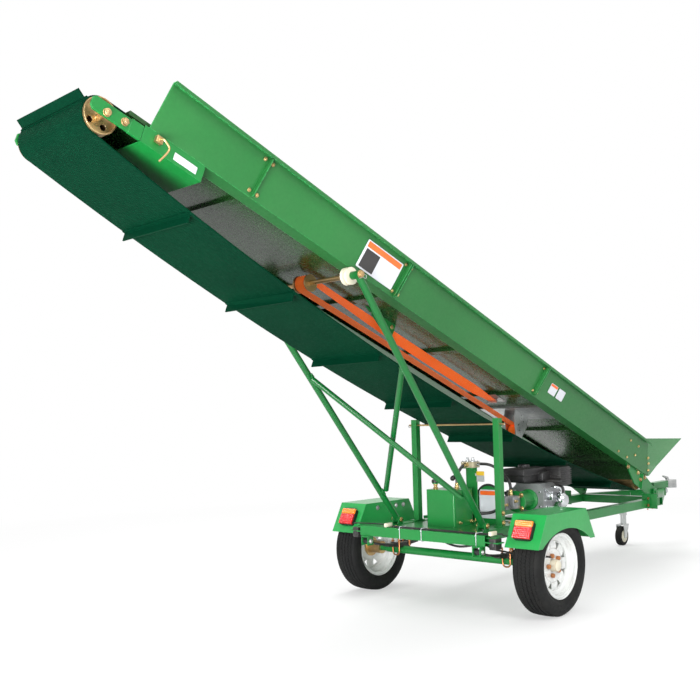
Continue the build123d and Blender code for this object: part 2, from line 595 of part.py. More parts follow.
# Legs
def leg_point(along, y):
    """A point on the leg's line, measured from its foot pivot."""
    top = trough_point(LEG_TOP_S, 0, LEG_TOP_N)
    foot = (LEG_PIVOT_X, 0, LEG_PIVOT_Z)
    length = math.dist((top[0], top[2]), (foot[0], foot[2]))
    share = along / length
    return (foot[0] + (top[0] - foot[0]) * share, y, foot[2] + (top[2] - foot[2]) * share)


def leg_length():
    """Distance from the foot pivot to the roller shaft."""
    top = trough_point(LEG_TOP_S, 0, LEG_TOP_N)
    return math.dist((top[0], top[2]), (LEG_PIVOT_X, LEG_PIVOT_Z))


def leg_y(along):
    """The leg's distance from the middle at a point along it."""
    return LEG_FOOT_Y + (LEG_HEAD_Y - LEG_FOOT_Y) * along / leg_length()


def build_legs():
    """Two legs, crossed braces, roller shaft, strap sheave and rollers."""
    top = trough_point(LEG_TOP_S, 0, LEG_TOP_N)
    foot = (LEG_PIVOT_X, LEG_FOOT_Y, LEG_PIVOT_Z)
    leg = rod(leg_point(0, LEG_FOOT_Y), leg_point(leg_length(), LEG_HEAD_Y), LEG_RADIUS)
    eye = disc_y(foot[0], foot[2], LEG_RADIUS + 2, LEG_FOOT_Y - 20, LEG_FOOT_Y + 20)
    collar = disc_y(top[0], top[2], LEG_RADIUS + 1, TRACK_Y + 22, LEG_HEAD_Y + 20)
    leg = leg + eye + collar
    for along in (BRACE_LOW, BRACE_HIGH):
        a = leg_point(along - 22, 0)
        b = leg_point(along + 22, 0)
        y = leg_y(along)
        leg += rod((a[0], y - 26, a[2]), (b[0], y - 26, b[2]), 7)
        leg += rod(leg_point(along, y), leg_point(along, y - 30), 9)
    leg -= disc_y(foot[0], foot[2], LEG_PIN_RADIUS + FIT_GAP, 200, 500)
    leg -= disc_y(top[0], top[2], ROLLER_SHAFT_RADIUS, 200, 500)
    add_pair("lift_leg", leg)
    low_y = leg_y(BRACE_LOW) - 34
    high_y = leg_y(BRACE_HIGH) - 34
    legs = NODES["lift_leg_left"][0] + NODES["lift_leg_right"][0]
    braces = []
    for side in (1, -1):
        low = leg_point(BRACE_LOW, -side * low_y)
        high = leg_point(BRACE_HIGH, side * high_y)
        aside = Pos(-BRACE_RADIUS * side, 0, -0.75 * BRACE_RADIUS * side)
        braces.append(aside * rod(low, high, BRACE_RADIUS) - legs)
    add("leg_braces", *braces)
    reach = LEG_HEAD_Y + 20
    shaft = disc_y(top[0], top[2], ROLLER_SHAFT_RADIUS, -reach, reach)
    sheave = disc_y(top[0], top[2], SHEAVE_RADIUS, -SHEAVE_HALF_WIDTH, SHEAVE_HALF_WIDTH)
    for y in (-SHEAVE_HALF_WIDTH, SHEAVE_HALF_WIDTH - 6):
        sheave += disc_y(top[0], top[2], SHEAVE_RADIUS + 6, y, y + 6)
    add("roller_shaft", shaft + sheave)
    radius = SIDE_LOW_N - LEG_TOP_N - FIT_GAP
    # Each line: start and end along the shaft from the track's middle, less radius
    steps = ((-22, -4, 0), (-4, 6, 8), (6, 20, 0))
    roller = None
    for start, end, less in steps:
        step = disc_y(top[0], top[2], radius - less, TRACK_Y + start, TRACK_Y + end)
        roller = step if roller is None else roller + step
    roller -= disc_y(top[0], top[2], ROLLER_SHAFT_RADIUS, TRACK_Y - 100, TRACK_Y + 100)
    add("leg_rollers", roller, mirrored(roller))


# What stands on the frame
def build_posts():
    """Rest posts, the rod between them and the feet that the legs turn on."""
    half = POST_SIZE / 2
    hole = disc_y(POST_X, ROD_Z, ROD_RADIUS, -500, 500)
    post = square_tube(POST_X - half, POST_X + half, POST_Y - half, POST_Y + half,
                       FRAME_TOP + 6, POST_TOP, "z", 3.0)
    foot = block(POST_X - 45, POST_X + 45, RAIL_IN + 2, RAIL_OUT - 2, FRAME_TOP, FRAME_TOP + 6)
    add("rest_posts", post + foot - hole, mirrored(post + foot) - hole)
    add("rest_rod", disc_y(POST_X, ROD_Z, ROD_RADIUS, -POST_Y - 50, POST_Y + 50))
    lugs = []
    for y in (LEG_FOOT_Y - 27, LEG_FOOT_Y + 21):
        lugs.append(plate_xz([(LEG_PIVOT_X - 24, FRAME_TOP), (LEG_PIVOT_X + 24, FRAME_TOP),
                              (LEG_PIVOT_X + 12, LEG_PIVOT_Z + 16),
                              (LEG_PIVOT_X - 12, LEG_PIVOT_Z + 16)], y, 6))
    pin = disc_y(LEG_PIVOT_X, LEG_PIVOT_Z, LEG_PIN_RADIUS, LEG_FOOT_Y - 32, LEG_FOOT_Y + 32)
    foot_lug = lugs[0] + lugs[1] + pin
    add("leg_feet", foot_lug, mirrored(foot_lug))


def hose(points, radius):
    """A hose of straight runs and large arcs through the points."""
    corners = []
    for before, here, after in zip(points, points[1:], points[2:]):
        arrive = Vector(*here) - Vector(*before)
        leave = Vector(*after) - Vector(*here)
        half_turn = math.radians(arrive.get_angle(leave)) / 2
        corners.append(0.45 * min(arrive.length, leave.length) / math.tan(half_turn))
    path = FilletPolyline(*points, radius=corners)
    print("hose", "length", round(path.length), "radii", [round(r) for r in corners])
    section = Plane(origin=points[0], z_dir=path % 0) * Circle(radius)
    return sweep(section, path=path)


def build_hydraulics():
    """Oil tank, control valve with its bracket, sign guard, pump and hoses."""
    tray_top = FRAME_TOP - 4
    tray = block(REAR_BAR_X + BAR_HALF, FRONT_BAR_X - BAR_HALF, -RAIL_IN, RAIL_IN,
                 tray_top - 6, tray_top)
    add("deck_plate", tray)
    tank = block(*TANK_X, *TANK_Y, tray_top, TANK_TOP)
    tank = fillet(tank.edges().filter_by(Axis.Z), 10)
    neck_x, neck_y = TANK_X[0] + 40, TANK_Y[1] - 45
    tank += rod((neck_x, neck_y, TANK_TOP), (neck_x, neck_y, TANK_TOP + 34), 9)
    tank += rod((neck_x, neck_y, TANK_TOP + 34), (neck_x, neck_y, TANK_TOP + 58), 21)
    add("hydraulic_tank", tank)
    mid_x = (VALVE_X[0] + VALVE_X[1]) / 2
    stem = block(mid_x + 8, mid_x + 14, VALVE_Y[0] + 10, VALVE_Y[1] - 10, tray_top, VALVE_Z[0])
    stem += block(mid_x - 30, mid_x + 14, VALVE_Y[0] + 10, VALVE_Y[1] - 10, tray_top, tray_top + 6)
    stem += block(mid_x - 30, mid_x + 14, VALVE_Y[0] + 10, VALVE_Y[1] - 10, VALVE_Z[0] - 6, VALVE_Z[0])
    valve = block(*VALVE_X, *VALVE_Y, *VALVE_Z)
    valve = chamfer(valve.edges().filter_by(Axis.Z), 9)
    for y in (VALVE_Y[0] + 30, VALVE_Y[1] - 30):
        valve += rod((mid_x, y, VALVE_Z[1]), (mid_x, y, VALVE_Z[1] + 8), 12)
        valve += rod((mid_x, y, VALVE_Z[1] + 8), (mid_x, y, VALVE_Z[1] + 20), 7)
    lever_z = VALVE_Z[0] + 20
    lever_end = (VALVE_X[0] - 78, VALVE_Y[1] + 2, lever_z - 80)
    valve += rod((VALVE_X[0] + 6, VALVE_Y[1] - 20, lever_z), lever_end, 5)
    valve += Pos(*lever_end) * Sphere(14)
    add("control_valve", valve)
    guard_y = (GUARD_Y[0] + GUARD_Y[1]) / 2
    guard_round = (GUARD_Y[1] - GUARD_Y[0]) / 2
    guard = block(GUARD_X, GUARD_X + 6, *GUARD_Y, tray_top, GUARD_TOP - guard_round)
    guard += rod((GUARD_X, guard_y, GUARD_TOP - guard_round),
                 (GUARD_X + 6, guard_y, GUARD_TOP - guard_round), guard_round)
    add("sign_guard", guard, stem)
    bell = rod((BELL_X, PUMP_Y, PUMP_Z), (ENGINE_X, PUMP_Y, PUMP_Z), 48)
    bell += rod((BELL_X, PUMP_Y, PUMP_Z), (BELL_X + 12, PUMP_Y, PUMP_Z), 66)
    bell += rod((ENGINE_X - 12, PUMP_Y, PUMP_Z), (ENGINE_X, PUMP_Y, PUMP_Z), 66)
    body = block(PUMP_X, BELL_X, PUMP_Y - 38, PUMP_Y + 38, PUMP_Z - 42, PUMP_Z + 42)
    body = chamfer(body.edges().filter_by(Axis.X), 8)
    add("hydraulic_pump", bell + body)
    valve_mid = (VALVE_Y[0] + VALVE_Y[1]) / 2
    port_z = (VALVE_Z[0] + VALVE_Z[1]) / 2
    pump_top = PUMP_Z + 42
    bend_x = VALVE_X[1] + 105
    pressure = [(VALVE_X[1], valve_mid, port_z), (VALVE_X[1] + 42, valve_mid, port_z),
                (bend_x - 12, valve_mid - 52, port_z - 4), (bend_x, valve_mid - 122, port_z - 40),
                (PUMP_X + 50, PUMP_Y, pump_top + 80), (PUMP_X + 50, PUMP_Y, pump_top)]
    back = [(VALVE_X[0], valve_mid, port_z), (VALVE_X[0] - 42, valve_mid, port_z),
            (VALVE_X[0] - 74, valve_mid + 26, port_z - 56), (VALVE_X[0] - 74, valve_mid + 26, TANK_TOP)]
    feed_z = PUMP_Z - 12
    feed_x = GUARD_X - 26
    port_y, outlet_z = TANK_Y[0] + 22, TANK_TOP - 150
    feed = [(TANK_X[1], port_y, outlet_z), (TANK_X[1] + 30, port_y, outlet_z),
            (TANK_X[1] + 36, port_y - 52, outlet_z - 8), (feed_x, port_y - 122, outlet_z),
            (feed_x + 4, PUMP_Y, feed_z), (PUMP_X, PUMP_Y, feed_z)]
    add("hydraulic_hoses", *[hose(points, HOSE_RADIUS) for points in (pressure, back, feed)])


def build_engine():
    """Engine on its bed: crankcase, finned cylinder, tank, air cleaner, recoil cover and muffler."""
    bed_near, bed_far = -RAIL_OUT, ENGINE_Y[1] + 90
    bed = block(*ENGINE_BED_X, bed_near, bed_far, FRAME_TOP, FRAME_TOP + 8)
    for x in (ENGINE_X + 20, ENGINE_X + ENGINE_LENGTH - 110):
        bed += block(x, x + 50, ENGINE_Y[0] + 40, ENGINE_Y[1] - 10, FRAME_TOP + 8, ENGINE_Z[0])
    bearer = block(*ENGINE_BED_X, -RAIL_IN, bed_far, FRAME_TOP - 40, FRAME_TOP)
    bearer -= block(ENGINE_BED_X[0] - 1, ENGINE_BED_X[1] + 1, -RAIL_IN + 6, bed_far - 6,
                    FRAME_TOP - 41, FRAME_TOP - 6)
    add("engine_bed", bed + bearer)
    case_end = ENGINE_X + ENGINE_LENGTH - 60
    case = block(ENGINE_X, case_end, *ENGINE_Y, *ENGINE_Z)
    case = chamfer(case.edges().filter_by(Axis.X), 30)
    head_y = ENGINE_Y[1] - 20
    turn = Pos(ENGINE_X + 95, head_y, ENGINE_Z[0] + 95) * Rot(65, 0, 0)
    cylinder = turn * Pos(0, 0, -5) * Box(110, 96, 180)
    for k in range(FIN_COUNT):
        cylinder += turn * Pos(0, 0, -88 + 22 * k) * Box(136, 124, 6)
    add("engine_block", case + cylinder)
    tank = block(ENGINE_X - 27, ENGINE_X + 173, ENGINE_Y[0] + 10, ENGINE_Y[1] + 90,
                 ENGINE_Z[1] + 4, ENGINE_Z[1] + 110)
    tank = fillet(tank.edges().filter_by(Axis.Z), 26)
    tank = fillet(tank.edges().group_by(Axis.Z)[-1], 16)
    tank += block(ENGINE_X + 20, ENGINE_X + 110, ENGINE_Y[0] + 70, ENGINE_Y[1] - 10,
                  ENGINE_Z[1], ENGINE_Z[1] + 4)
    cap_x, cap_y = ENGINE_X + 60, (ENGINE_Y[0] + ENGINE_Y[1]) / 2 + 60
    tank += rod((cap_x, cap_y, ENGINE_Z[1] + 110), (cap_x, cap_y, ENGINE_Z[1] + 132), 32)
    add("fuel_tank", tank)
    cleaner = block(ENGINE_X + 178, ENGINE_X + 292, ENGINE_Y[0] - 40, ENGINE_Y[0] + 95,
                    ENGINE_Z[1] + 6, ENGINE_Z[1] + 112)
    cleaner = fillet(cleaner.edges().filter_by(Axis.Z), 18)
    cleaner += block(ENGINE_X + 176, ENGINE_X + 215, ENGINE_Y[0] + 20, ENGINE_Y[0] + 80,
                     ENGINE_Z[1] - 40, ENGINE_Z[1] + 6) - case
    add("air_cleaner", cleaner)
    middle_y = (ENGINE_Y[0] + ENGINE_Y[1]) / 2
    middle_z = (ENGINE_Z[0] + ENGINE_Z[1]) / 2 + 12
    recoil = rod((case_end, middle_y, middle_z), (case_end + 70, middle_y, middle_z), 104)
    recoil += rod((case_end + 70, middle_y, middle_z), (case_end + 100, middle_y, middle_z), 66)
    recoil -= cleaner
    add("recoil_cover", recoil)
    muffler_z = ENGINE_Z[0] + 66
    muffler_x = ENGINE_X + 150
    muffler = rod((muffler_x, ENGINE_Y[0], muffler_z), (muffler_x, ENGINE_Y[0] - 58, muffler_z), 46)
    muffler += Pos(muffler_x, ENGINE_Y[0] - 58, muffler_z) * Rot(90, 0, 0) * Cone(
        46, 26, 14, align=(Align.CENTER, Align.CENTER, Align.MIN))
    add("muffler", muffler)


def build_jack():
    """Nose jack: outer tube on the drawbar, swivelling fork and wheel."""
    tube_low, tube_top = 250.0, 690.0
    mount_z = (FRAME_LOW + 15, FRAME_LOW + 45)
    tube = rod((JACK_X, JACK_Y, tube_low), (JACK_X, JACK_Y, tube_top), JACK_TUBE_RADIUS)
    tube += rod((JACK_X, JACK_Y, tube_top), (JACK_X, JACK_Y, tube_top + 14), JACK_TUBE_RADIUS + 4)
    crank_z = tube_top + 34
    tube += rod((JACK_X, JACK_Y, tube_top + 14), (JACK_X, JACK_Y, crank_z), 7)
    tube += rod((JACK_X, JACK_Y, crank_z), (JACK_X - 110, JACK_Y, crank_z), 7)
    tube += rod((JACK_X - 110, JACK_Y, crank_z - 7), (JACK_X - 110, JACK_Y, crank_z + 70), 11)
    arm = block(JACK_X - 40, JACK_X + 40, JACK_Y - 90, JACK_Y, *mount_z)
    bore_top = mount_z[0]
    bore = rod((JACK_X, JACK_Y, tube_low - 1), (JACK_X, JACK_Y, bore_top), JACK_LEG_RADIUS + FIT_GAP)
    add("jack_tube", tube + (arm - NODES["drawbar_arms"][0]) - bore)
    fork_top = 2 * JACK_WHEEL_RADIUS + 16
    leg = rod((JACK_X, JACK_Y, fork_top), (JACK_X, JACK_Y, bore_top - 10), JACK_LEG_RADIUS)
    wheel_x = JACK_X - JACK_TRAIL
    bridge = block(wheel_x - 24, JACK_X + 30, JACK_Y - 36, JACK_Y + 36, fork_top - 6, fork_top)
    fork = leg + bridge
    for y in (JACK_Y - 36, JACK_Y + 31):
        fork += plate_xz([(wheel_x - 18, JACK_WHEEL_RADIUS - 16), (wheel_x + 18, JACK_WHEEL_RADIUS - 16),
                          (JACK_X + 24, fork_top - 6), (wheel_x - 24, fork_top - 6)], y, 5)
    fork += disc_y(wheel_x, JACK_WHEEL_RADIUS, LEG_PIN_RADIUS, JACK_Y - 36, JACK_Y + 36)
    add("jack_fork", fork)
    wheel = disc_y(wheel_x, JACK_WHEEL_RADIUS, JACK_WHEEL_RADIUS, JACK_Y - 24, JACK_Y + 24)
    wheel = fillet(wheel.edges(), 9)
    wheel -= disc_y(wheel_x, JACK_WHEEL_RADIUS, LEG_PIN_RADIUS + FIT_GAP, JACK_Y - 30, JACK_Y + 30)
    add("jack_wheel", wheel)


def build_lift():
    """Strap winch, its strap round the sheave, the strap hook and the stop plate."""
    plate_y = STRAP_WIDTH / 2 + 5
    winch = None
    for y in (-plate_y - 5, plate_y):
        side = plate_xz([(-WINCH_S - 90, SIDE_LOW_N), (-WINCH_S + 80, SIDE_LOW_N),
                         (-WINCH_S + 80, WINCH_N + 40), (-WINCH_S + 42, WINCH_N - 44),
                         (-WINCH_S - 30, WINCH_N - 44), (-WINCH_S - 90, WINCH_N + 66)], y, 5)
        winch = side if winch is None else winch + side
    winch += block(-WINCH_S - 90, -WINCH_S + 80, -plate_y - 5, plate_y + 5,
                   SIDE_LOW_N, SIDE_LOW_N + SHEET)
    winch += disc_y(-WINCH_S, WINCH_N, WINCH_SHAFT_RADIUS, -plate_y - 20, plate_y + 20)
    winch += disc_y(-WINCH_S, WINCH_N, 34, plate_y + 5, plate_y + 12)
    carrier = block(-WINCH_S - 110, -WINCH_S + 110, -(BED_HALF_WIDTH - SHEET), BED_HALF_WIDTH - SHEET,
                    SIDE_LOW_N + SHEET, BED_UNDER_N)
    add("strap_winch", raised(winch + carrier))
    half = STRAP_WIDTH / 2
    inner = SHEAVE_RADIUS + FIT_GAP
    outer = inner + STRAP_THICKNESS
    wrap = disc_y(-LEG_TOP_S, LEG_TOP_N, outer, -half, half)
    wrap -= disc_y(-LEG_TOP_S, LEG_TOP_N, inner, -half, half)
    wrap -= block(-LEG_TOP_S, -LEG_TOP_S + 2 * outer, -half - 1, half + 1,
                  LEG_TOP_N - 100, LEG_TOP_N + 100)
    upper = plate_xz([(-LEG_TOP_S, LEG_TOP_N + inner), (-LEG_TOP_S, LEG_TOP_N + outer),
                      (-STRAP_HOOK_S, STRAP_HOOK_N + STRAP_THICKNESS), (-STRAP_HOOK_S, STRAP_HOOK_N)],
                     -half, STRAP_WIDTH)
    bundle_top = WINCH_N + WINCH_BUNDLE_RADIUS
    lower = plate_xz([(-LEG_TOP_S, LEG_TOP_N - inner), (-LEG_TOP_S, LEG_TOP_N - outer),
                      (-WINCH_S, bundle_top - STRAP_THICKNESS), (-WINCH_S, bundle_top)], -half, STRAP_WIDTH)
    bundle = disc_y(-WINCH_S, WINCH_N, WINCH_BUNDLE_RADIUS, -half, half)
    bundle -= disc_y(-WINCH_S, WINCH_N, WINCH_SHAFT_RADIUS, -half - 1, half + 1)
    add("lift_strap", raised(wrap + upper + lower + bundle))
    hook = block(-STRAP_HOOK_S, -STRAP_HOOK_S + 8, -half - 8, half + 8, STRAP_HOOK_N - 12, SIDE_LOW_N + SHEET)
    hook += block(-STRAP_HOOK_S - 60, -STRAP_HOOK_S + 60, -half - 30, half + 30,
                  SIDE_LOW_N - 1, SIDE_LOW_N + SHEET)
    add("strap_hook", raised(hook))
    near_y = -STOP_PLATE_Y - 6
    stop = plate_xz([(-3257, BED_UNDER_N), (-3060, 12), (-3027, -15), (-3000, -10),
                     (-2985, BED_UNDER_N)], near_y, 6)
    stop -= disc_y(-3200, BED_UNDER_N - 22, 8, near_y - 1, near_y + 7)
    stop -= disc_y(-3026, 6, 6, near_y - 1, near_y + 7)
    add("stop_plate", raised(stop))


def main():
    """Build every node and write one STEP file for each."""
    build_frame()
    build_hinge_bar()
    build_drawbar()
    build_axle()
    build_wheels()
    build_fenders()
    build_trough_sides()
    build_trough_ends()
    build_belt()
    build_legs()
    build_posts()
    build_hydraulics()
    build_engine()
    build_jack()
    build_lift()
    os.makedirs("parts", exist_ok=True)
    shift = Pos(-ORIGIN_AHEAD, 0, 0)
    low = [math.inf] * 3
    high = [-math.inf] * 3
    for name, solids in NODES.items():
        placed = [shift * piece for item in solids for piece in item.solids()]
        shape = placed[0] if len(placed) == 1 else Compound(children=placed)
        shape.label = name
        export_step(shape, f"parts/{name}.step")
        box = shape.bounding_box()
        low = [min(a, b) for a, b in zip(low, box.min)]
        high = [max(a, b) for a, b in zip(high, box.max)]
    print("nodes", len(NODES))
    print("low", [round(v, 2) for v in low], "high", [round(v, 2) for v in high])


main()
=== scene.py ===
# %% [markdown]
# # A towed firewood conveyor
#
# The frame is fixed: its tubes, trough, wheels and drums stand where they were built. This lesson
# dresses it. It gives every solid a finish, swaps the plain belt, tyres, rims and engine covers
# for closer ones, and adds the bolts, hose ends, lamps and plates.

# %% Load the frame
import json
import math

import bpy
import bmesh
from mathutils import Matrix, Vector

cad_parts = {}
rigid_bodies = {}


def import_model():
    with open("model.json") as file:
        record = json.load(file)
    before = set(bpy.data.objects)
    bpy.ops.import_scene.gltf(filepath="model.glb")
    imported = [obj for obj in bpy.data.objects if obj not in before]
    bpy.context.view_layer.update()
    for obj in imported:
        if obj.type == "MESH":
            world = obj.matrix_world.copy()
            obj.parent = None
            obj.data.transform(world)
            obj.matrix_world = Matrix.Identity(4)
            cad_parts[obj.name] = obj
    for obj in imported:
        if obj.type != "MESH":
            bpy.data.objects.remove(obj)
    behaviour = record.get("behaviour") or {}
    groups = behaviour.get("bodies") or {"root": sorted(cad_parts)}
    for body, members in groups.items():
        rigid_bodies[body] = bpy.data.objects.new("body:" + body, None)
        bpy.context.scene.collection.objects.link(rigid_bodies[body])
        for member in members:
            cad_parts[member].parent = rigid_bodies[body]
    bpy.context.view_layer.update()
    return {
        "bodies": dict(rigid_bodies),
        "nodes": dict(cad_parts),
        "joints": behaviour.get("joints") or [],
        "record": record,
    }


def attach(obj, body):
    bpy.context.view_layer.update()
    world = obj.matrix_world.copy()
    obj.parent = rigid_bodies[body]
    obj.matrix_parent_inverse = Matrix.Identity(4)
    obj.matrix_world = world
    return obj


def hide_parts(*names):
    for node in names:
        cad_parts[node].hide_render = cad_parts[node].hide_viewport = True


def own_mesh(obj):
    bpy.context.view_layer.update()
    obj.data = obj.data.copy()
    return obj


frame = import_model()
nodes = frame["nodes"]
print("nodes in the frame:", len(nodes))

# %% [markdown]
# Sizes come first. The chassis is measured from the axle and the trough from its hinge pin,
# so two small functions turn such a place into a point of the model. Everything later asks
# them, and a piece that belongs on the trough keeps its place along the trough.

# %% Places on the chassis and on the trough
AXLE_X = -0.2983
HINGE_X = 2.2 + AXLE_X
HINGE_Z = 0.502
TROUGH_ANGLE = math.radians(20.8)
UP_TROUGH = Vector((-math.cos(TROUGH_ANGLE), 0, math.sin(TROUGH_ANGLE)))
OFF_TROUGH = Vector((math.sin(TROUGH_ANGLE), 0, math.cos(TROUGH_ANGLE)))
LEFT = Vector((0, 1, 0))
UP = Vector((0, 0, 1))
AHEAD = Vector((1, 0, 0))


def chassis(x, y, z):
    """A point measured in metres from the axle's middle, z from the ground."""
    return Vector((x + AXLE_X, y, z))


def trough(s, y, n):
    """A point s up the trough from its hinge, n above it."""
    return Vector((HINGE_X, y, HINGE_Z)) + s * UP_TROUGH + n * OFF_TROUGH


DRUM_SPAN = (0.25, 5.118)
DRUM_N = 0.023
print("head drum at", [round(v, 3) for v in trough(DRUM_SPAN[1], 0, DRUM_N)])

# %% [markdown]
# The camera stands behind the machine and to its right, a little above the fender tops. Its
# lens, tilt and lean were solved from the wheels, the trough's straight edges and the cross bar,
# so it is set by its own axes and not by a target.

# %% Camera
FOCAL_PIXELS = 891.06
FRAME_PIXELS = 700
SENSOR_MM = 36.0
CENTRE_PIXEL = (335.84, 383.91)
CAMERA_PLACE = chassis(-4.4567, -3.2790, 1.1346)
CAMERA_YAW = math.radians(43.533)
CAMERA_PITCH = math.radians(2.192)
CAMERA_ROLL = math.radians(-1.523)


def aim_camera():
    """Build the camera from the solved yaw, pitch and roll."""
    ahead = Vector((math.cos(CAMERA_PITCH) * math.cos(CAMERA_YAW),
                    math.cos(CAMERA_PITCH) * math.sin(CAMERA_YAW), math.sin(CAMERA_PITCH)))
    level_right = ahead.cross(UP).normalized()
    level_up = level_right.cross(ahead)
    right = level_right * math.cos(CAMERA_ROLL) + level_up * math.sin(CAMERA_ROLL)
    top = right.cross(ahead)
    data = bpy.data.cameras.new("photo_camera")
    data.sensor_width = SENSOR_MM
    data.lens = FOCAL_PIXELS / FRAME_PIXELS * SENSOR_MM
    data.shift_x = (FRAME_PIXELS / 2 - CENTRE_PIXEL[0]) / FRAME_PIXELS
    data.shift_y = (CENTRE_PIXEL[1] - FRAME_PIXELS / 2) / FRAME_PIXELS
    camera = bpy.data.objects.new("photo_camera", data)
    turn = Matrix((right, top, -ahead)).transposed().to_4x4()
    camera.matrix_world = Matrix.Translation(CAMERA_PLACE) @ turn
    bpy.context.collection.objects.link(camera)
    bpy.context.scene.camera = camera
    return camera


camera = aim_camera()
print("lens", round(camera.data.lens, 2), "mm")

# %% [markdown]
# The photograph is a cut-out on white, lit from above. A white world that is stronger for the
# camera than for the object gives the white ground without washing out the paint. Three soft
# lamps do the rest: a key behind the camera, a broad one overhead, and a low one at the rear
# that lights the underside of the trough and its strap.

# %% Light and floor
WORLD_LIGHT = 0.62
FLOOR_SIZE = 60.0
# Each lamp: name, place, what it points at, width of its square in metres, watts
LAMPS = [("key", (-3.5, -6.5, 6.5), (0, 0, 1.0), 4.0, 430),
         ("top", (1.0, 1.5, 8.0), (0, 0, 0.5), 5.0, 420),
         ("fill", (-5.8, -1.6, 0.25), (-1.2, 0, 1.6), 2.5, 540)]


def set_world():
    """White where the camera or a mirror sees it, softer as light."""
    world = bpy.data.worlds.new("studio")
    bpy.context.scene.world = world
    world.use_nodes = True
    tree = world.node_tree
    tree.nodes.clear()
    path = tree.nodes.new("ShaderNodeLightPath")
    seen = tree.nodes.new("ShaderNodeMath")
    seen.operation = "MAXIMUM"
    glossy = tree.nodes.new("ShaderNodeMath")
    glossy.operation = "MAXIMUM"
    tree.links.new(path.outputs["Is Camera Ray"], seen.inputs[0])
    tree.links.new(path.outputs["Is Transmission Ray"], seen.inputs[1])
    tree.links.new(seen.outputs[0], glossy.inputs[0])
    tree.links.new(path.outputs["Is Glossy Ray"], glossy.inputs[1])
    strength = tree.nodes.new("ShaderNodeMapRange")
    strength.inputs["To Min"].default_value = WORLD_LIGHT
    strength.inputs["To Max"].default_value = 1.0
    tree.links.new(glossy.outputs[0], strength.inputs["Value"])
    light = tree.nodes.new("ShaderNodeBackground")
    tree.links.new(strength.outputs["Result"], light.inputs["Strength"])
    out = tree.nodes.new("ShaderNodeOutputWorld")
    tree.links.new(light.outputs[0], out.inputs["Surface"])
    light.inputs["Color"].default_value = (1, 1, 1, 1)


def soft_lamp(name, place, target, size, watts):
    """A square area lamp that points at target."""
    data = bpy.data.lights.new(name, "AREA")
    data.size = size
    data.energy = watts
    lamp = bpy.data.objects.new(name, data)
    lamp.location = place
    lamp.rotation_euler = (Vector(target) - Vector(place)).to_track_quat("-Z", "Y").to_euler()
    bpy.context.collection.objects.link(lamp)


set_world()
for lamp in LAMPS:
    soft_lamp(*lamp)

floor_mesh = bpy.data.meshes.new("floor")
half = FLOOR_SIZE / 2
floor_mesh.from_pydata([(-half, -half, 0), (half, -half, 0), (half, half, 0), (-half, half, 0)],
                       [], [(0, 1, 2, 3)])
floor = bpy.data.objects.new("floor", floor_mesh)
bpy.context.collection.objects.link(floor)
bpy.context.scene.view_settings.view_transform = "Standard"
print("lamps:", [lamp[0] for lamp in LAMPS])

# %% [markdown]
# The floor is a pale sheet. A plain white one would show a grey band where it ends. So the camera
# sees it as nearly its own light, more so with distance, and the ground melts into the white
# background while the shadow under the wheels stays.

# %% Floor material
FLOOR_GLOW_NEAR = 0.5
FLOOR_GLOW_FAR = 1.0
GLOW_SPAN = (3.0, 7.0)


def nodes_of(material):
    """Nodes, links and the Principled shader of a fresh material."""
    material.use_nodes = True
    tree = material.node_tree
    return tree.nodes, tree.links, tree.nodes["Principled BSDF"]


def floor_material():
    """White floor: lit near the object, glowing far from it."""
    material = bpy.data.materials.new("floor_white")
    made, links, shader = nodes_of(material)
    shader.inputs["Base Color"].default_value = (0.86, 0.86, 0.86, 1)
    shader.inputs["Roughness"].default_value = 0.9
    glow = made.new("ShaderNodeEmission")
    place = made.new("ShaderNodeTexCoord")
    distance = made.new("ShaderNodeVectorMath")
    distance.operation = "LENGTH"
    links.new(place.outputs["Object"], distance.inputs[0])
    share = made.new("ShaderNodeMapRange")
    share.inputs["From Min"].default_value = GLOW_SPAN[0]
    share.inputs["From Max"].default_value = GLOW_SPAN[1]
    share.inputs["To Min"].default_value = FLOOR_GLOW_NEAR
    share.inputs["To Max"].default_value = FLOOR_GLOW_FAR
    links.new(distance.outputs["Value"], share.inputs["Value"])
    path = made.new("ShaderNodeLightPath")
    seen = made.new("ShaderNodeMath")
    seen.operation = "MULTIPLY"
    links.new(path.outputs["Is Camera Ray"], seen.inputs[0])
    links.new(share.outputs["Result"], seen.inputs[1])
    mix = made.new("ShaderNodeMixShader")
    links.new(seen.outputs[0], mix.inputs["Fac"])
    links.new(shader.outputs[0], mix.inputs[1])
    links.new(glow.outputs[0], mix.inputs[2])
    links.new(mix.outputs[0], made["Material Output"].inputs["Surface"])
    return material


floor.data.materials.append(floor_material())
print("floor glows from", FLOOR_GLOW_NEAR, "to", FLOOR_GLOW_FAR)

# %% [markdown]
# A shader tree is a lot of small steps, so a few helpers come first: noise, a maths step, a mix
# of two colours and a change of range. Each adds one node and hands back its output, so that a
# recipe further down reads as one line for each step.

# %% Shader helpers
def shader_group(name, inputs, outputs):
    """A shader node group with its sockets, ready to be filled."""
    group = bpy.data.node_groups.new(name, "ShaderNodeTree")
    kinds = {"float": "NodeSocketFloat", "colour": "NodeSocketColor", "vector": "NodeSocketVector"}
    for socket, kind, value in inputs:
        made = group.interface.new_socket(socket, in_out="INPUT", socket_type=kinds[kind])
        if value is not None:
            made.default_value = value
    for socket, kind in outputs:
        group.interface.new_socket(socket, in_out="OUTPUT", socket_type=kinds[kind])
    start = group.nodes.new("NodeGroupInput")
    end = group.nodes.new("NodeGroupOutput")
    return group, group.nodes, group.links, start, end


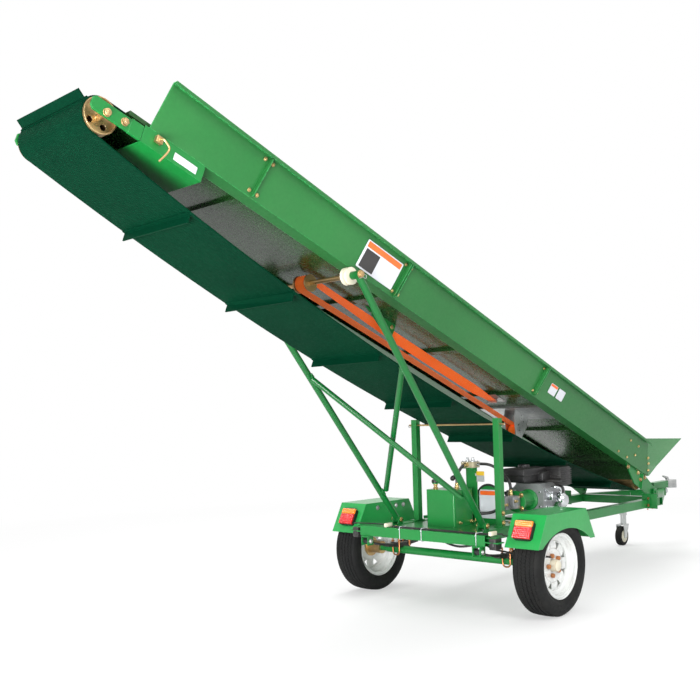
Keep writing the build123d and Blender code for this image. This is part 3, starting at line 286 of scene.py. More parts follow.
def noise(made, links, place, scale, detail=3.0, roughness=0.5):
    """A noise texture on a place socket; returns its value socket."""
    texture = made.new("ShaderNodeTexNoise")
    texture.inputs["Detail"].default_value = detail
    texture.inputs["Roughness"].default_value = roughness
    if isinstance(scale, float):
        texture.inputs["Scale"].default_value = scale
    else:
        links.new(scale, texture.inputs["Scale"])
    links.new(place, texture.inputs["Vector"])
    return texture.outputs["Fac"]


def calc(made, links, operation, a, b=None, clamp=False):
    """A maths node on sockets or numbers; returns its value socket."""
    node = made.new("ShaderNodeMath")
    node.operation = operation
    node.use_clamp = clamp
    for socket, value in zip(node.inputs, (a, b)):
        if value is None:
            continue
        if isinstance(value, (int, float)):
            socket.default_value = value
        else:
            links.new(value, socket)
    return node.outputs[0]


def mix_colour(made, links, share, a, b):
    """Mix two colours by a share; each may be a socket or a tuple."""
    node = made.new("ShaderNodeMix")
    node.data_type = "RGBA"
    node.clamp_result = True
    for socket, value in ((node.inputs["Factor"], share), (node.inputs[6], a), (node.inputs[7], b)):
        if isinstance(value, (int, float, tuple)):
            socket.default_value = value
        else:
            links.new(value, socket)
    return node.outputs[2]


def span(made, links, value, low, high, to_low=0.0, to_high=1.0):
    """Map a value from one span to another, held inside it."""
    node = made.new("ShaderNodeMapRange")
    node.inputs["From Min"].default_value = low
    node.inputs["From Max"].default_value = high
    node.inputs["To Min"].default_value = to_low
    node.inputs["To Max"].default_value = to_high
    links.new(value, node.inputs["Value"])
    return node.outputs["Result"]


print("shader helpers ready")

# %% [markdown]
# Several finishes share the same effects: a slow change of tone over the metal, fine grain, a colour
# along the edges and dust on what faces the sky. The edge colour is wear on some finishes and a
# painted highlight on the green paints. Each effect is one shader group with its own inputs, so a
# finish is made by placing the groups and giving them values.

# %% Shader groups
SLOW_SHARE = 0.75
EDGE_SPAN = (0.96, 0.72)
DUST_SLOPE = (0.2, 0.95)


def make_tone_group():
    """A colour that wanders slowly over the piece and mottles finely."""
    group, made, links, start, end = shader_group(
        "tone", [("Colour", "colour", None), ("Deep", "colour", None), ("Slow Scale", "float", 1.6),
                 ("Fine Scale", "float", 60.0), ("Amount", "float", 0.5)],
        [("Colour", "colour"), ("Fine", "float")])
    place = made.new("ShaderNodeTexCoord").outputs["Object"]
    slow = noise(made, links, place, start.outputs["Slow Scale"], 3.0)
    fine = noise(made, links, place, start.outputs["Fine Scale"], 4.0, 0.6)
    both = calc(made, links, "ADD", calc(made, links, "MULTIPLY", slow, SLOW_SHARE),
                calc(made, links, "MULTIPLY", fine, 1 - SLOW_SHARE))
    share = calc(made, links, "MULTIPLY", span(made, links, both, 0.36, 0.64),
                 start.outputs["Amount"])
    colour = mix_colour(made, links, share, start.outputs["Colour"], start.outputs["Deep"])
    links.new(colour, end.inputs["Colour"])
    links.new(fine, end.inputs["Fine"])
    return group


def make_edge_group():
    """Mask of the outer edges, broken up by noise, and the rounded normal."""
    group, made, links, start, end = shader_group(
        "edge_wear_and_highlight", [("Radius", "float", 0.003), ("Breakup", "float", 55.0), ("Amount", "float", 0.6)],
        [("Mask", "float"), ("Normal", "vector")])
    rounded = made.new("ShaderNodeBevel")
    rounded.samples = 4
    links.new(start.outputs["Radius"], rounded.inputs["Radius"])
    flat = made.new("ShaderNodeNewGeometry")
    dot = made.new("ShaderNodeVectorMath")
    dot.operation = "DOT_PRODUCT"
    links.new(rounded.outputs["Normal"], dot.inputs[0])
    links.new(flat.outputs["Normal"], dot.inputs[1])
    edge = span(made, links, dot.outputs["Value"], *EDGE_SPAN)
    place = made.new("ShaderNodeTexCoord").outputs["Object"]
    broken = span(made, links, noise(made, links, place, start.outputs["Breakup"], 3.0), 0.35, 0.6)
    mask = calc(made, links, "MULTIPLY", edge, broken)
    mask = calc(made, links, "MULTIPLY", mask, start.outputs["Amount"], clamp=True)
    links.new(mask, end.inputs["Mask"])
    links.new(rounded.outputs["Normal"], end.inputs["Normal"])
    return group


def make_grain_group():
    """A normal with fine grain: orange peel, pores or cast skin."""
    group, made, links, start, end = shader_group(
        "grain", [("Scale", "float", 700.0), ("Height", "float", 0.0002), ("Normal", "vector", None)],
        [("Normal", "vector")])
    place = made.new("ShaderNodeTexCoord").outputs["Object"]
    value = noise(made, links, place, start.outputs["Scale"], 2.0)
    bump = made.new("ShaderNodeBump")
    bump.inputs["Strength"].default_value = 1.0
    links.new(start.outputs["Height"], bump.inputs["Distance"])
    links.new(value, bump.inputs["Height"])
    links.new(start.outputs["Normal"], bump.inputs["Normal"])
    links.new(bump.outputs["Normal"], end.inputs["Normal"])
    return group


def make_dust_group():
    """Share of dust: more on what faces up, in patches."""
    group, made, links, start, end = shader_group(
        "dust", [("Amount", "float", 0.2), ("Scale", "float", 7.0)], [("Share", "float")])
    place = made.new("ShaderNodeTexCoord")
    split = made.new("ShaderNodeSeparateXYZ")
    links.new(place.outputs["Normal"], split.inputs[0])
    facing_up = span(made, links, split.outputs["Z"], *DUST_SLOPE, 0.25, 1.0)
    patches = noise(made, links, place.outputs["Object"], start.outputs["Scale"], 5.0, 0.65)
    patches = span(made, links, patches, 0.42, 0.68)
    share = calc(made, links, "MULTIPLY", facing_up, patches)
    links.new(calc(made, links, "MULTIPLY", share, start.outputs["Amount"], clamp=True),
              end.inputs["Share"])
    return group


TONE = make_tone_group()
EDGE = make_edge_group()
GRAIN = make_grain_group()
DUST = make_dust_group()
print("shader groups:", [g.name for g in (TONE, EDGE, GRAIN, DUST)])

# %% [markdown]
# A finish is one material. Tone, edges, grain and dust come from the groups, and what is the
# same all over, such as a metal's full metallic value, is set on the shader's own socket. The
# paints are powder coats with a thin clear gloss over a slightly pebbled skin.

# %% Finish maker
COAT_ROUGHNESS = 0.12


def placed(made, group, **values):
    """Place a group in a material and set its inputs."""
    node = made.new("ShaderNodeGroup")
    node.node_tree = group
    for name, value in values.items():
        node.inputs[name.replace("_", " ")].default_value = value
    return node


def rgb(r, g, b):
    """A colour given as the eye reads it, 0 to 255, made linear."""
    def linear(v):
        v = v / 255
        return v / 12.92 if v <= 0.04045 else ((v + 0.055) / 1.055) ** 2.4
    return (linear(r), linear(g), linear(b), 1.0)


def finish(name, colour, deep, rough=(0.35, 0.5), metallic=0.0, coat=0.0, wear_and_highlight=None, edge=0.35,
           edge_radius=0.003, grain=(700.0, 0.0001), dust=0.15, dust_colour=(0.35, 0.32, 0.27, 1),
           slow=1.6, amount=0.5, gloss=0.5):
    """A procedural finish built from the shared groups."""
    material = bpy.data.materials.new(name)
    made, links, shader = nodes_of(material)
    tone = placed(made, TONE, Colour=colour, Deep=deep, Slow_Scale=slow, Amount=amount)
    edges = placed(made, EDGE, Radius=edge_radius, Amount=edge)
    skin = placed(made, GRAIN, Scale=grain[0], Height=grain[1])
    settled = placed(made, DUST, Amount=dust)
    links.new(edges.outputs["Normal"], skin.inputs["Normal"])
    # The edge mask mixes in the edge colour; on the green paints this lighter green is a painted highlight.
    colour_out = mix_colour(made, links, edges.outputs["Mask"], tone.outputs["Colour"],
                            wear_and_highlight if wear_and_highlight else deep)
    colour_out = mix_colour(made, links, settled.outputs["Share"], colour_out, dust_colour)
    links.new(colour_out, shader.inputs["Base Color"])
    roughness = span(made, links, tone.outputs["Fine"], 0.3, 0.7, rough[0], rough[1])
    roughness = calc(made, links, "ADD", roughness,
                     calc(made, links, "MULTIPLY", settled.outputs["Share"], 0.3), clamp=True)
    links.new(roughness, shader.inputs["Roughness"])
    links.new(skin.outputs["Normal"], shader.inputs["Normal"])
    shader.inputs["Metallic"].default_value = metallic
    shader.inputs["Coat Weight"].default_value = coat
    shader.inputs["Coat Roughness"].default_value = COAT_ROUGHNESS
    shader.inputs["Specular IOR Level"].default_value = gloss
    return material


# The lighter edge greens of the machine, fender and trough paints are painted highlights.
MACHINE_GREEN = finish("machine_green_paint", rgb(18, 122, 52), rgb(8, 102, 40), (0.30, 0.42),
                       coat=0.2, wear_and_highlight=rgb(60, 176, 100), edge=0.55, amount=0.6, dust=0.05, gloss=0.35)
LEG_GREEN = finish("leg_green_paint", rgb(12, 100, 42), rgb(6, 82, 32), (0.28, 0.40), coat=0.2, edge=0.0,
                   edge_radius=0.0, grain=(300.0, 0.0), amount=0.6, dust=0.0, gloss=0.35)
FENDER_GREEN = finish("fender_green_paint", rgb(30, 150, 70), rgb(20, 132, 58), (0.28, 0.40),
                      coat=0.25, wear_and_highlight=rgb(96, 200, 132), edge=0.5, amount=0.6, dust=0.05, gloss=0.4)
TROUGH_GREEN = finish("trough_green_paint", rgb(36, 108, 50), rgb(24, 92, 40), (0.34, 0.46),
                      coat=0.15, wear_and_highlight=rgb(60, 190, 104), edge=0.9, edge_radius=0.006, amount=0.8,
                      slow=0.9, dust=0.05, gloss=0.35)
# Painted shade: the underside's paint is a darker copy of the trough's green for the shade under the
# trough.
UNDER_SHADED_GREEN = finish("underside_shaded_green_paint", rgb(36, 78, 34), rgb(20, 56, 22), (0.20, 0.32),
                     coat=0.1, edge=0.2, amount=0.8, slow=0.8, dust=0.04, gloss=0.35)
print("paints:", MACHINE_GREEN.name, TROUGH_GREEN.name, UNDER_SHADED_GREEN.name)

# %% [markdown]
# The metal parts are zinc plate, some of it passivated yellow, plus white rim enamel. A picture
# of real plate could be laid on them, but a noise has no seams and fits any shape. The plating
# shows a faint cloudy streak, so its roughness spreads more widely than the paint's.

# %% Metals and enamel
ZINC = finish("zinc_plate", rgb(196, 198, 196), rgb(150, 154, 156), (0.24, 0.46), metallic=0.92,
              edge=0.3, wear_and_highlight=rgb(225, 226, 222), grain=(420.0, 0.00008), dust=0.12, slow=9.0, amount=0.8)
YELLOW_ZINC = finish("yellow_zinc_plate", rgb(206, 176, 124), rgb(168, 132, 92), (0.26, 0.5),
                     metallic=0.9, edge=0.3, wear_and_highlight=rgb(222, 214, 190), grain=(380.0, 0.00008),
                     dust=0.18, slow=7.0, amount=0.9)
COPPER_ZINC = finish("copper_coloured_plate", rgb(198, 132, 84), rgb(150, 94, 62), (0.26, 0.42),
                     metallic=0.92, edge=0.3, wear_and_highlight=rgb(224, 190, 150), dust=0.08, slow=20.0, amount=0.7)
BRASS = finish("brass", rgb(204, 180, 124), rgb(160, 132, 82), (0.2, 0.38), metallic=0.95,
               edge=0.4, wear_and_highlight=rgb(236, 224, 190), dust=0.06, slow=25.0, amount=0.6)
CHROME = finish("bright_chrome", rgb(215, 218, 220), rgb(190, 194, 198), (0.06, 0.14), metallic=1.0,
                edge=0.1, dust=0.03, grain=(300.0, 0.00002), slow=12.0, amount=0.4)
RIM_WHITE = finish("rim_white_enamel", rgb(226, 228, 226), rgb(206, 209, 208), (0.22, 0.34), coat=0.6,
                   wear_and_highlight=rgb(176, 174, 166), edge=0.25, dust=0.3, dust_colour=rgb(150, 142, 126),
                   slow=6.0, amount=0.6)
print("metals:", ZINC.name, YELLOW_ZINC.name, COPPER_ZINC.name, BRASS.name, CHROME.name)

# %% [markdown]
# Rubber, plastics, castings and the plates come last. Rubber keeps fine pores and a grey bloom,
# cast metal has a coarse skin, and the blank plates are smooth white enamel.

# %% Rubber, plastic and castings
TYRE_RUBBER = finish("tyre_rubber", rgb(27, 28, 28), rgb(18, 18, 19), (0.55, 0.75), edge=0.4,
                     wear_and_highlight=rgb(58, 57, 55), edge_radius=0.002, grain=(900.0, 0.00025), dust=0.25,
                     dust_colour=rgb(78, 74, 66), slow=9.0, amount=0.7, gloss=0.15)
BLACK_PLASTIC = finish("black_plastic", rgb(24, 24, 26), rgb(15, 15, 17), (0.32, 0.5), edge=0.3, gloss=0.4,
                       wear_and_highlight=rgb(74, 74, 76), grain=(1200.0, 0.00012), dust=0.15, slow=12.0)
HOSE_RUBBER = finish("hose_rubber", rgb(28, 28, 30), rgb(18, 18, 20), (0.38, 0.55), edge=0.2,
                     wear_and_highlight=rgb(60, 60, 62), grain=(1600.0, 0.00015), dust=0.15, slow=18.0)
SPRING_BLACK = finish("spring_black_paint", rgb(30, 31, 32), rgb(20, 20, 22), (0.35, 0.55), edge=0.5,
                      wear_and_highlight=rgb(92, 88, 82), grain=(500.0, 0.0002), dust=0.3, slow=8.0)
CAST_GREY = finish("cast_aluminium", rgb(150, 152, 154), rgb(112, 114, 116), (0.38, 0.6), metallic=0.75,
                   edge=0.5, wear_and_highlight=rgb(200, 200, 198), grain=(650.0, 0.0004), dust=0.25, slow=14.0)
CAST_BEIGE = finish("cast_valve_body", rgb(186, 178, 150), rgb(150, 142, 116), (0.34, 0.55),
                    metallic=0.35, edge=0.4, wear_and_highlight=rgb(220, 216, 196), grain=(700.0, 0.00035), dust=0.15,
                    slow=16.0)
NYLON = finish("white_nylon", rgb(222, 216, 196), rgb(204, 196, 172), (0.34, 0.48), edge=0.15,
               wear_and_highlight=rgb(240, 236, 222), grain=(900.0, 0.0001), dust=0.25, dust_colour=rgb(150, 138, 112),
               slow=12.0)
GREY_PLASTIC = finish("grey_plastic", rgb(178, 182, 182), rgb(156, 160, 162), (0.36, 0.5), edge=0.2,
                      wear_and_highlight=rgb(206, 208, 208), dust=0.2, slow=10.0)
PLATE_WHITE = finish("blank_plate_white", rgb(206, 208, 214), rgb(194, 197, 204), (0.3, 0.42), coat=0.3,
                     edge=0.1, dust=0.12, slow=10.0, amount=0.5)
PLATE_ORANGE = finish("plate_orange", rgb(238, 104, 34), rgb(222, 88, 24), (0.3, 0.42), coat=0.3,
                      edge=0.1, dust=0.08, slow=10.0)
PLATE_YELLOW = finish("plate_yellow", rgb(232, 190, 40), rgb(214, 170, 30), (0.3, 0.42), coat=0.3,
                      edge=0.1, dust=0.08, slow=10.0)
PLATE_DARK = finish("plate_dark", rgb(44, 42, 42), rgb(32, 30, 30), (0.32, 0.45), coat=0.3,
                    edge=0.1, dust=0.08, slow=10.0)
WIRE_BLACK = finish("wire_black", rgb(26, 26, 28), rgb(18, 18, 20), (0.35, 0.5), edge=0.1, dust=0.1,
                    slow=18.0)
print("finishes so far:", len(bpy.data.materials))

# %% [markdown]
# The belt rubber is dark green and matt. Its ribs are real geometry, so the material only adds
# the tone and the slightly lighter crests. The cleats are a brighter rubber, welded on, and the
# cut edge of the belt shows its pale fabric core.

# %% Belt and cleat rubber
BELT_GREEN = finish("belt_green_rubber", rgb(3, 48, 30), rgb(1, 38, 24), (0.42, 0.58), edge=0.35,
                    edge_radius=0.0015, wear_and_highlight=rgb(34, 92, 66), grain=(900.0, 0.0002), dust=0.0,
                    dust_colour=rgb(60, 84, 66), slow=2.2, amount=0.7, gloss=0.02)
CLEAT_GREEN = finish("cleat_green_rubber", rgb(16, 92, 60), rgb(9, 76, 48), (0.34, 0.5), edge=0.5,
                     edge_radius=0.002, wear_and_highlight=rgb(50, 134, 92), grain=(900.0, 0.0001), dust=0.0,
                     slow=3.0, amount=0.6, gloss=0.12)
BELT_EDGE = finish("belt_edge_rubber", rgb(112, 152, 126), rgb(88, 130, 104), (0.45, 0.6), edge=0.1,
                   dust=0.1, slow=5.0, amount=0.6)
print("belt finishes:", BELT_GREEN.name, CLEAT_GREEN.name, BELT_EDGE.name)

# %% [markdown]
# Every node of the frame gets its finish from one table, finish first and then its nodes. Most
# of the steel is sprayed in one green. The trough has a green of its own, the fenders a lighter
# green and the legs a darker one; the trough's underside is a darker copy of the trough green,
# painted shade for the shade under the trough. Shafts and hubs are passivated yellow. A table is
# easy to check: the last line names any node that was left without a finish.

# %% Finishes on the frame's own pieces
NODE_FINISH = {
    MACHINE_GREEN: ["rear_crossbar", "front_crossbar", "frame_rails", "hinge_crossbar", "drawbar_arms",
                    "nose_tube", "rest_posts", "leg_feet", "deck_plate", "hydraulic_tank", "sign_guard",
                    "engine_bed", "hinge_ears", "take_up_box", "bearing_arms", "stop_plate",
                    "spring_hangers", "axle_beam"],
    LEG_GREEN: ["lift_leg_left", "lift_leg_right", "leg_braces"],
    FENDER_GREEN: ["fender_left", "fender_right"],
    TROUGH_GREEN: ["side_panel_left", "side_panel_right", "side_ribs", "loading_lip"],
    UNDER_SHADED_GREEN: ["bed_pan", "cross_members"],
    RIM_WHITE: ["rim_left", "rim_right"],
    SPRING_BLACK: ["leaf_springs"],
    ZINC: ["tow_coupler", "jack_tube", "jack_fork", "strap_winch", "strap_hook"],
    YELLOW_ZINC: ["hub_left", "hub_right", "tail_drum", "head_drum", "rest_rod", "roller_shaft"],
    TYRE_RUBBER: ["tyre_left", "tyre_right", "jack_wheel"],
    BELT_GREEN: ["belt_carry", "belt_return"],
    NYLON: ["leg_rollers"],
    PLATE_ORANGE: ["tail_lights", "lift_strap"],
    CAST_GREY: ["engine_block", "muffler", "hydraulic_pump"],
    BLACK_PLASTIC: ["fuel_tank", "air_cleaner", "recoil_cover"],
    CAST_BEIGE: ["control_valve"],
    HOSE_RUBBER: ["hydraulic_hoses"],
    GREY_PLASTIC: ["document_tube"],
}
for material, names in NODE_FINISH.items():
    for name in names:
        mesh = nodes[name].data
        mesh.materials.clear()
        mesh.materials.append(material)
bare = sorted(set(nodes) - {name for names in NODE_FINISH.values() for name in names})
print("nodes with a finish:", len(nodes) - len(bare), "without:", bare)

# %% [markdown]
# New pieces are built in mesh code. A frame is a small set of axes at a place, so that a bolt or
# a lamp can be drawn flat and then stood on any face. The first shape is the lathe's: a profile
# turned about the frame's axis. Blender's Spin could do it too, but rings made here close at the
# axis in one point and need no merging. A peg is the simplest case.

# %% Frames and turned shapes
def facing(place, ahead, up=UP):
    """Axes at a place whose z points ahead and whose y leans towards up."""
    z = Vector(ahead).normalized()
    side = Vector(up).cross(z)
    if side.length < 1e-4:
        side = AHEAD.cross(z)
    x = side.normalized()
    turn = Matrix((x, z.cross(x), z)).transposed().to_4x4()
    return Matrix.Translation(place) @ turn


def turned(made, profile, frame, steps=24, ring=False):
    """A shape turned about the frame's z axis from (radius, height) points."""
    rounds = []
    for radius, height in profile:
        count = 1 if radius < 1e-6 else steps
        rounds.append([made.verts.new(frame @ Vector((
            radius * math.cos(math.tau * k / steps), radius * math.sin(math.tau * k / steps),
            height))) for k in range(count)])
    pairs = list(zip(rounds, rounds[1:]))
    if ring:
        pairs.append((rounds[-1], rounds[0]))
    for low, high in pairs:
        for k in range(steps):
            corners = []
            for corner in (low[k % len(low)], low[(k + 1) % len(low)],
                           high[(k + 1) % len(high)], high[k % len(high)]):
                if corner not in corners:
                    corners.append(corner)
            if len(corners) > 2:
                made.faces.new(corners)
    if not ring:
        for end in (rounds[0], rounds[-1]):
            if len(end) > 1:
                made.faces.new(end)


def peg(made, frame, radius, height, crown=None, steps=6):
    """A peg on a frame, six-sided or round; crown is the height of its middle."""
    turned(made, [(0, 0), (radius, 0), (radius, height), (0, height if crown is None else crown)],
           frame, steps)


print("lathe ready")

# %% [markdown]
# Three more shapes are enough for the rest of the machine: a flat slab cut to an outline, a
# rounded brick, and a round tube along a route. A soft route is a smooth curve through a few
# places, which is how a hose or a bent rod is set out. A curve object with a bevel would look
# the same, but a tube drawn here can share one mesh with its nuts and clips.

# %% Slabs, bricks and tubes
def slab(made, outline, thick, frame):
    """A flat plate with an (x, y) outline, thick along the frame's z."""
    low = [made.verts.new(frame @ Vector((x, y, 0))) for x, y in outline]
    high = [made.verts.new(frame @ Vector((x, y, thick))) for x, y in outline]
    made.faces.new(low)
    made.faces.new(high)
    for k in range(len(outline)):
        after = (k + 1) % len(outline)
        made.faces.new((low[k], low[after], high[after], high[k]))


def brick(made, size, frame, bevel=0.0):
    """A block centred on the frame, its edges rounded."""
    corners = bmesh.ops.create_cube(made, size=1.0, matrix=frame @ Matrix.Diagonal((*size, 1)))["verts"]
    if bevel:
        edges = {edge for corner in corners for edge in corner.link_edges}
        bmesh.ops.bevel(made, geom=list(edges), offset=bevel, segments=2, affect="EDGES", profile=0.5)


def block(made, size, place, bevel=0.0):
    """A brick that stands upright at an (x, y, z) place on the chassis."""
    brick(made, size, facing(chassis(*place), UP), bevel)


def smooth_route(points, steps=6):
    """Points of a soft curve through the given ones."""
    points = [Vector(p) for p in points]
    if len(points) == 2:
        return points
    ends = [2 * points[0] - points[1]] + points + [2 * points[-1] - points[-2]]
    route = []
    for a, b, c, d in zip(ends, ends[1:], ends[2:], ends[3:]):
        for k in range(steps):
            t = k / steps
            route.append(0.5 * (2 * b + (c - a) * t + (2 * a - 5 * b + 4 * c - d) * t * t
                                + (3 * b - a - 3 * c + d) * t * t * t))
    return route + [points[-1]]


def tube(made, route, radius, sides=8):
    """A round tube along a route, closed at both ends."""
    turn = None
    rounds = []
    for k, place in enumerate(route):
        along = (route[min(k + 1, len(route) - 1)] - route[max(k - 1, 0)]).normalized()
        if turn is None:
            turn = along.orthogonal().normalized()
        turn = (turn - along * turn.dot(along)).normalized()
        other = along.cross(turn)
        rounds.append([made.verts.new(place + radius * (math.cos(math.tau * j / sides) * turn
                                                        + math.sin(math.tau * j / sides) * other))
                       for j in range(sides)])
    for low, high in zip(rounds, rounds[1:]):
        for j in range(sides):
            made.faces.new((low[j], low[(j + 1) % sides], high[(j + 1) % sides], high[j]))
    made.faces.new(rounds[0])
    made.faces.new(rounds[-1])


def run(made, places, radius, sides=8, steps=6):
    """A tube on a soft curve through (x, y, z) places on the chassis."""
    tube(made, smooth_route([chassis(*place) for place in places], steps), radius, sides)


def rounded(width, height, corner, steps=5):
    """Outline of a rectangle with round corners, centred."""
    outline = []
    for k, (sx, sy) in enumerate(((1, 1), (-1, 1), (-1, -1), (1, -1))):
        for j in range(steps + 1):
            turn = math.pi / 2 * (k + j / steps)
            outline.append((sx * (width / 2 - corner) + corner * math.cos(turn),
                            sy * (height / 2 - corner) + corner * math.sin(turn)))
    return outline


print("slab, brick and tube ready")

# %% [markdown]
# A working mesh becomes a piece in one step: its faces are turned outwards, its finish and smooth
# shading are set, and it is told which body it rides on and which plain nodes it takes the place
# of. One function for all of that means that none is forgotten.

# %% From working mesh to piece
def mesh_of(made, name="work"):
    """Turn a working mesh into mesh data and let it go."""
    mesh = bpy.data.meshes.new(name)
    made.to_mesh(mesh)
    made.free()
    return mesh


def settle(name, mesh, materials, body, replaced=(), slot=None, crease=35):
    """Make a piece of a mesh: finish, smooth shading, body and what it replaces; slot is not used."""
    mesh.name = name
    mesh.materials.clear()
    for material in materials if isinstance(materials, (list, tuple)) else (materials,):
        mesh.materials.append(material)
    mesh.shade_smooth()
    mesh.set_sharp_from_angle(angle=math.radians(crease))
    piece = bpy.data.objects.new(name, mesh)
    bpy.context.collection.objects.link(piece)
    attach(piece, body)
    if replaced:
        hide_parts(*replaced)
    return piece


def piece_from(name, made, materials, body, **more):
    """Close a working mesh into a piece with its faces outwards."""
    bmesh.ops.recalc_face_normals(made, faces=made.faces)
    return settle(name, mesh_of(made), materials, body, **more)


def merged_copy(node):
    """A bmesh copy of a frame node with its loose triangles joined."""
    made = bmesh.new()
    made.from_mesh(nodes[node].data)
    bmesh.ops.remove_doubles(made, verts=made.verts, dist=1e-6)
    return made


print("pieces can be made")

# %% [markdown]
# Bolts, hose nuts and tread blocks repeat by the dozen. A Geometry Nodes tree puts one small
# shape on every given point: the point's attributes say which way it faces and which way lies
# across. The result is realized into plain mesh, like any other piece.

# %% A tree that repeats a shape
SEED = 7


def applied(piece):
    """Mesh of an object with its modifiers applied."""
    graph = bpy.context.evaluated_depsgraph_get()
    return bpy.data.meshes.new_from_object(piece.evaluated_get(graph), depsgraph=graph)


def bake_tree(tree, base, values):
    """Run a tree on a mesh and return the plain mesh it makes."""
    holder = bpy.data.objects.new("maker", base)
    bpy.context.collection.objects.link(holder)
    modifier = holder.modifiers.new("maker", "NODES")
    modifier.node_group = tree
    for item in tree.interface.items_tree:
        if item.in_out == "INPUT" and item.name in values:
            modifier[item.identifier] = values[item.name]
    mesh = applied(holder)
    bpy.data.objects.remove(holder)
    return mesh


def tree_with(name, inputs):
    """A Geometry Nodes tree with named inputs and one geometry output."""
    tree = bpy.data.node_groups.new(name, "GeometryNodeTree")
    tree.is_modifier = True
    tree.interface.new_socket("Points", in_out="INPUT", socket_type="NodeSocketGeometry")
    for socket, kind in inputs:
        tree.interface.new_socket(socket, in_out="INPUT", socket_type="NodeSocket" + kind)
    tree.interface.new_socket("Geometry", in_out="OUTPUT", socket_type="NodeSocketGeometry")
    return tree, tree.nodes.new("NodeGroupInput"), tree.nodes.new("NodeGroupOutput")


def realized(tree, start, end, instances):
    """End a tree: realize the instances and give them the finish."""
    solid = tree.nodes.new("GeometryNodeRealizeInstances")
    dressed = tree.nodes.new("GeometryNodeSetMaterial")
    tree.links.new(instances, solid.inputs["Geometry"])
    tree.links.new(solid.outputs["Geometry"], dressed.inputs["Geometry"])
    tree.links.new(start.outputs["Finish"], dressed.inputs["Material"])
    tree.links.new(dressed.outputs["Geometry"], end.inputs["Geometry"])


def make_repeat_tree():
    """One copy of Shape on every point, z along facing, y towards across."""
    tree, start, end = tree_with("repeat_shape", [("Shape", "Object"), ("Finish", "Material"),
                                                  ("Size", "Float"), ("Turn", "Float")])
    turn = None
    for axis, name in (("Z", "facing"), ("Y", "across")):
        read = tree.nodes.new("GeometryNodeInputNamedAttribute")
        read.data_type = "FLOAT_VECTOR"
        read.inputs["Name"].default_value = name
        align = tree.nodes.new("FunctionNodeAlignRotationToVector")
        align.axis = axis
        align.pivot_axis = "AUTO" if axis == "Z" else "Z"
        tree.links.new(read.outputs["Attribute"], align.inputs["Vector"])
        if turn:
            tree.links.new(turn, align.inputs["Rotation"])
        turn = align.outputs["Rotation"]
    chance = tree.nodes.new("FunctionNodeRandomValue")
    chance.inputs["Seed"].default_value = SEED
    tree.links.new(start.outputs["Turn"], chance.inputs[3])
    about = tree.nodes.new("FunctionNodeAxisAngleToRotation")
    about.inputs["Axis"].default_value = (0, 0, 1)
    tree.links.new(chance.outputs[1], about.inputs["Angle"])
    twist = tree.nodes.new("FunctionNodeRotateRotation")
    twist.rotation_space = "LOCAL"
    tree.links.new(turn, twist.inputs["Rotation"])
    tree.links.new(about.outputs["Rotation"], twist.inputs["Rotate By"])
    shape = tree.nodes.new("GeometryNodeObjectInfo")
    tree.links.new(start.outputs["Shape"], shape.inputs["Object"])
    copies = tree.nodes.new("GeometryNodeInstanceOnPoints")
    tree.links.new(start.outputs["Points"], copies.inputs["Points"])
    tree.links.new(shape.outputs["Geometry"], copies.inputs["Instance"])
    tree.links.new(twist.outputs["Rotation"], copies.inputs["Rotation"])
    tree.links.new(start.outputs["Size"], copies.inputs["Scale"])
    realized(tree, start, end, copies.outputs["Instances"])
    return tree


REPEAT = make_repeat_tree()


def repeated(shape, places, finish_used, size=1.0, turn=0.0):
    """Mesh of a shape on many places, each (point, facing, across)."""
    base = bpy.data.meshes.new("places")
    base.from_pydata([p for p, f, a in places], [], [])
    for name, column in (("facing", 1), ("across", 2)):
        field = base.attributes.new(name, "FLOAT_VECTOR", "POINT")
        field.data.foreach_set("vector", [v for place in places for v in place[column]])
    bmesh.ops.recalc_face_normals(shape, faces=shape.faces)
    master = bpy.data.objects.new("shape", mesh_of(shape))
    result = bake_tree(REPEAT, base, {"Shape": master, "Finish": finish_used, "Size": size, "Turn": turn})
    bpy.data.objects.remove(master)
    return result


print("trees:", REPEAT.name)

# %% [markdown]
# The belt is a dark green rubber band with fine cross ribs moulded into its face and taller
# cleats every two thirds of a metre. The band and cleats are the frame's own shape, joined up;
# the ribs follow a path round the drums in a second tree, spaced by its Pitch input.

# %% Belt ribs along a path
RIB_PITCH = 0.009
RIB_SIZE = (0.0045, 0.0013)
BELT_HALF = 0.254
BELT_OUTER = 0.081
BELT_SAG = 0.16
EDGE_STRIP = 0.002
CLEAT_FROM = 0.0015


def sag_drop(s):
    """Height of the slack run's outer face at s."""
    half = (DRUM_SPAN[1] - DRUM_SPAN[0]) / 2
    radius = (half * half + BELT_SAG * BELT_SAG) / (2 * BELT_SAG)
    offset = s - (DRUM_SPAN[0] + DRUM_SPAN[1]) / 2
    return DRUM_N - BELT_OUTER - BELT_SAG + radius - math.sqrt(radius * radius - offset * offset)


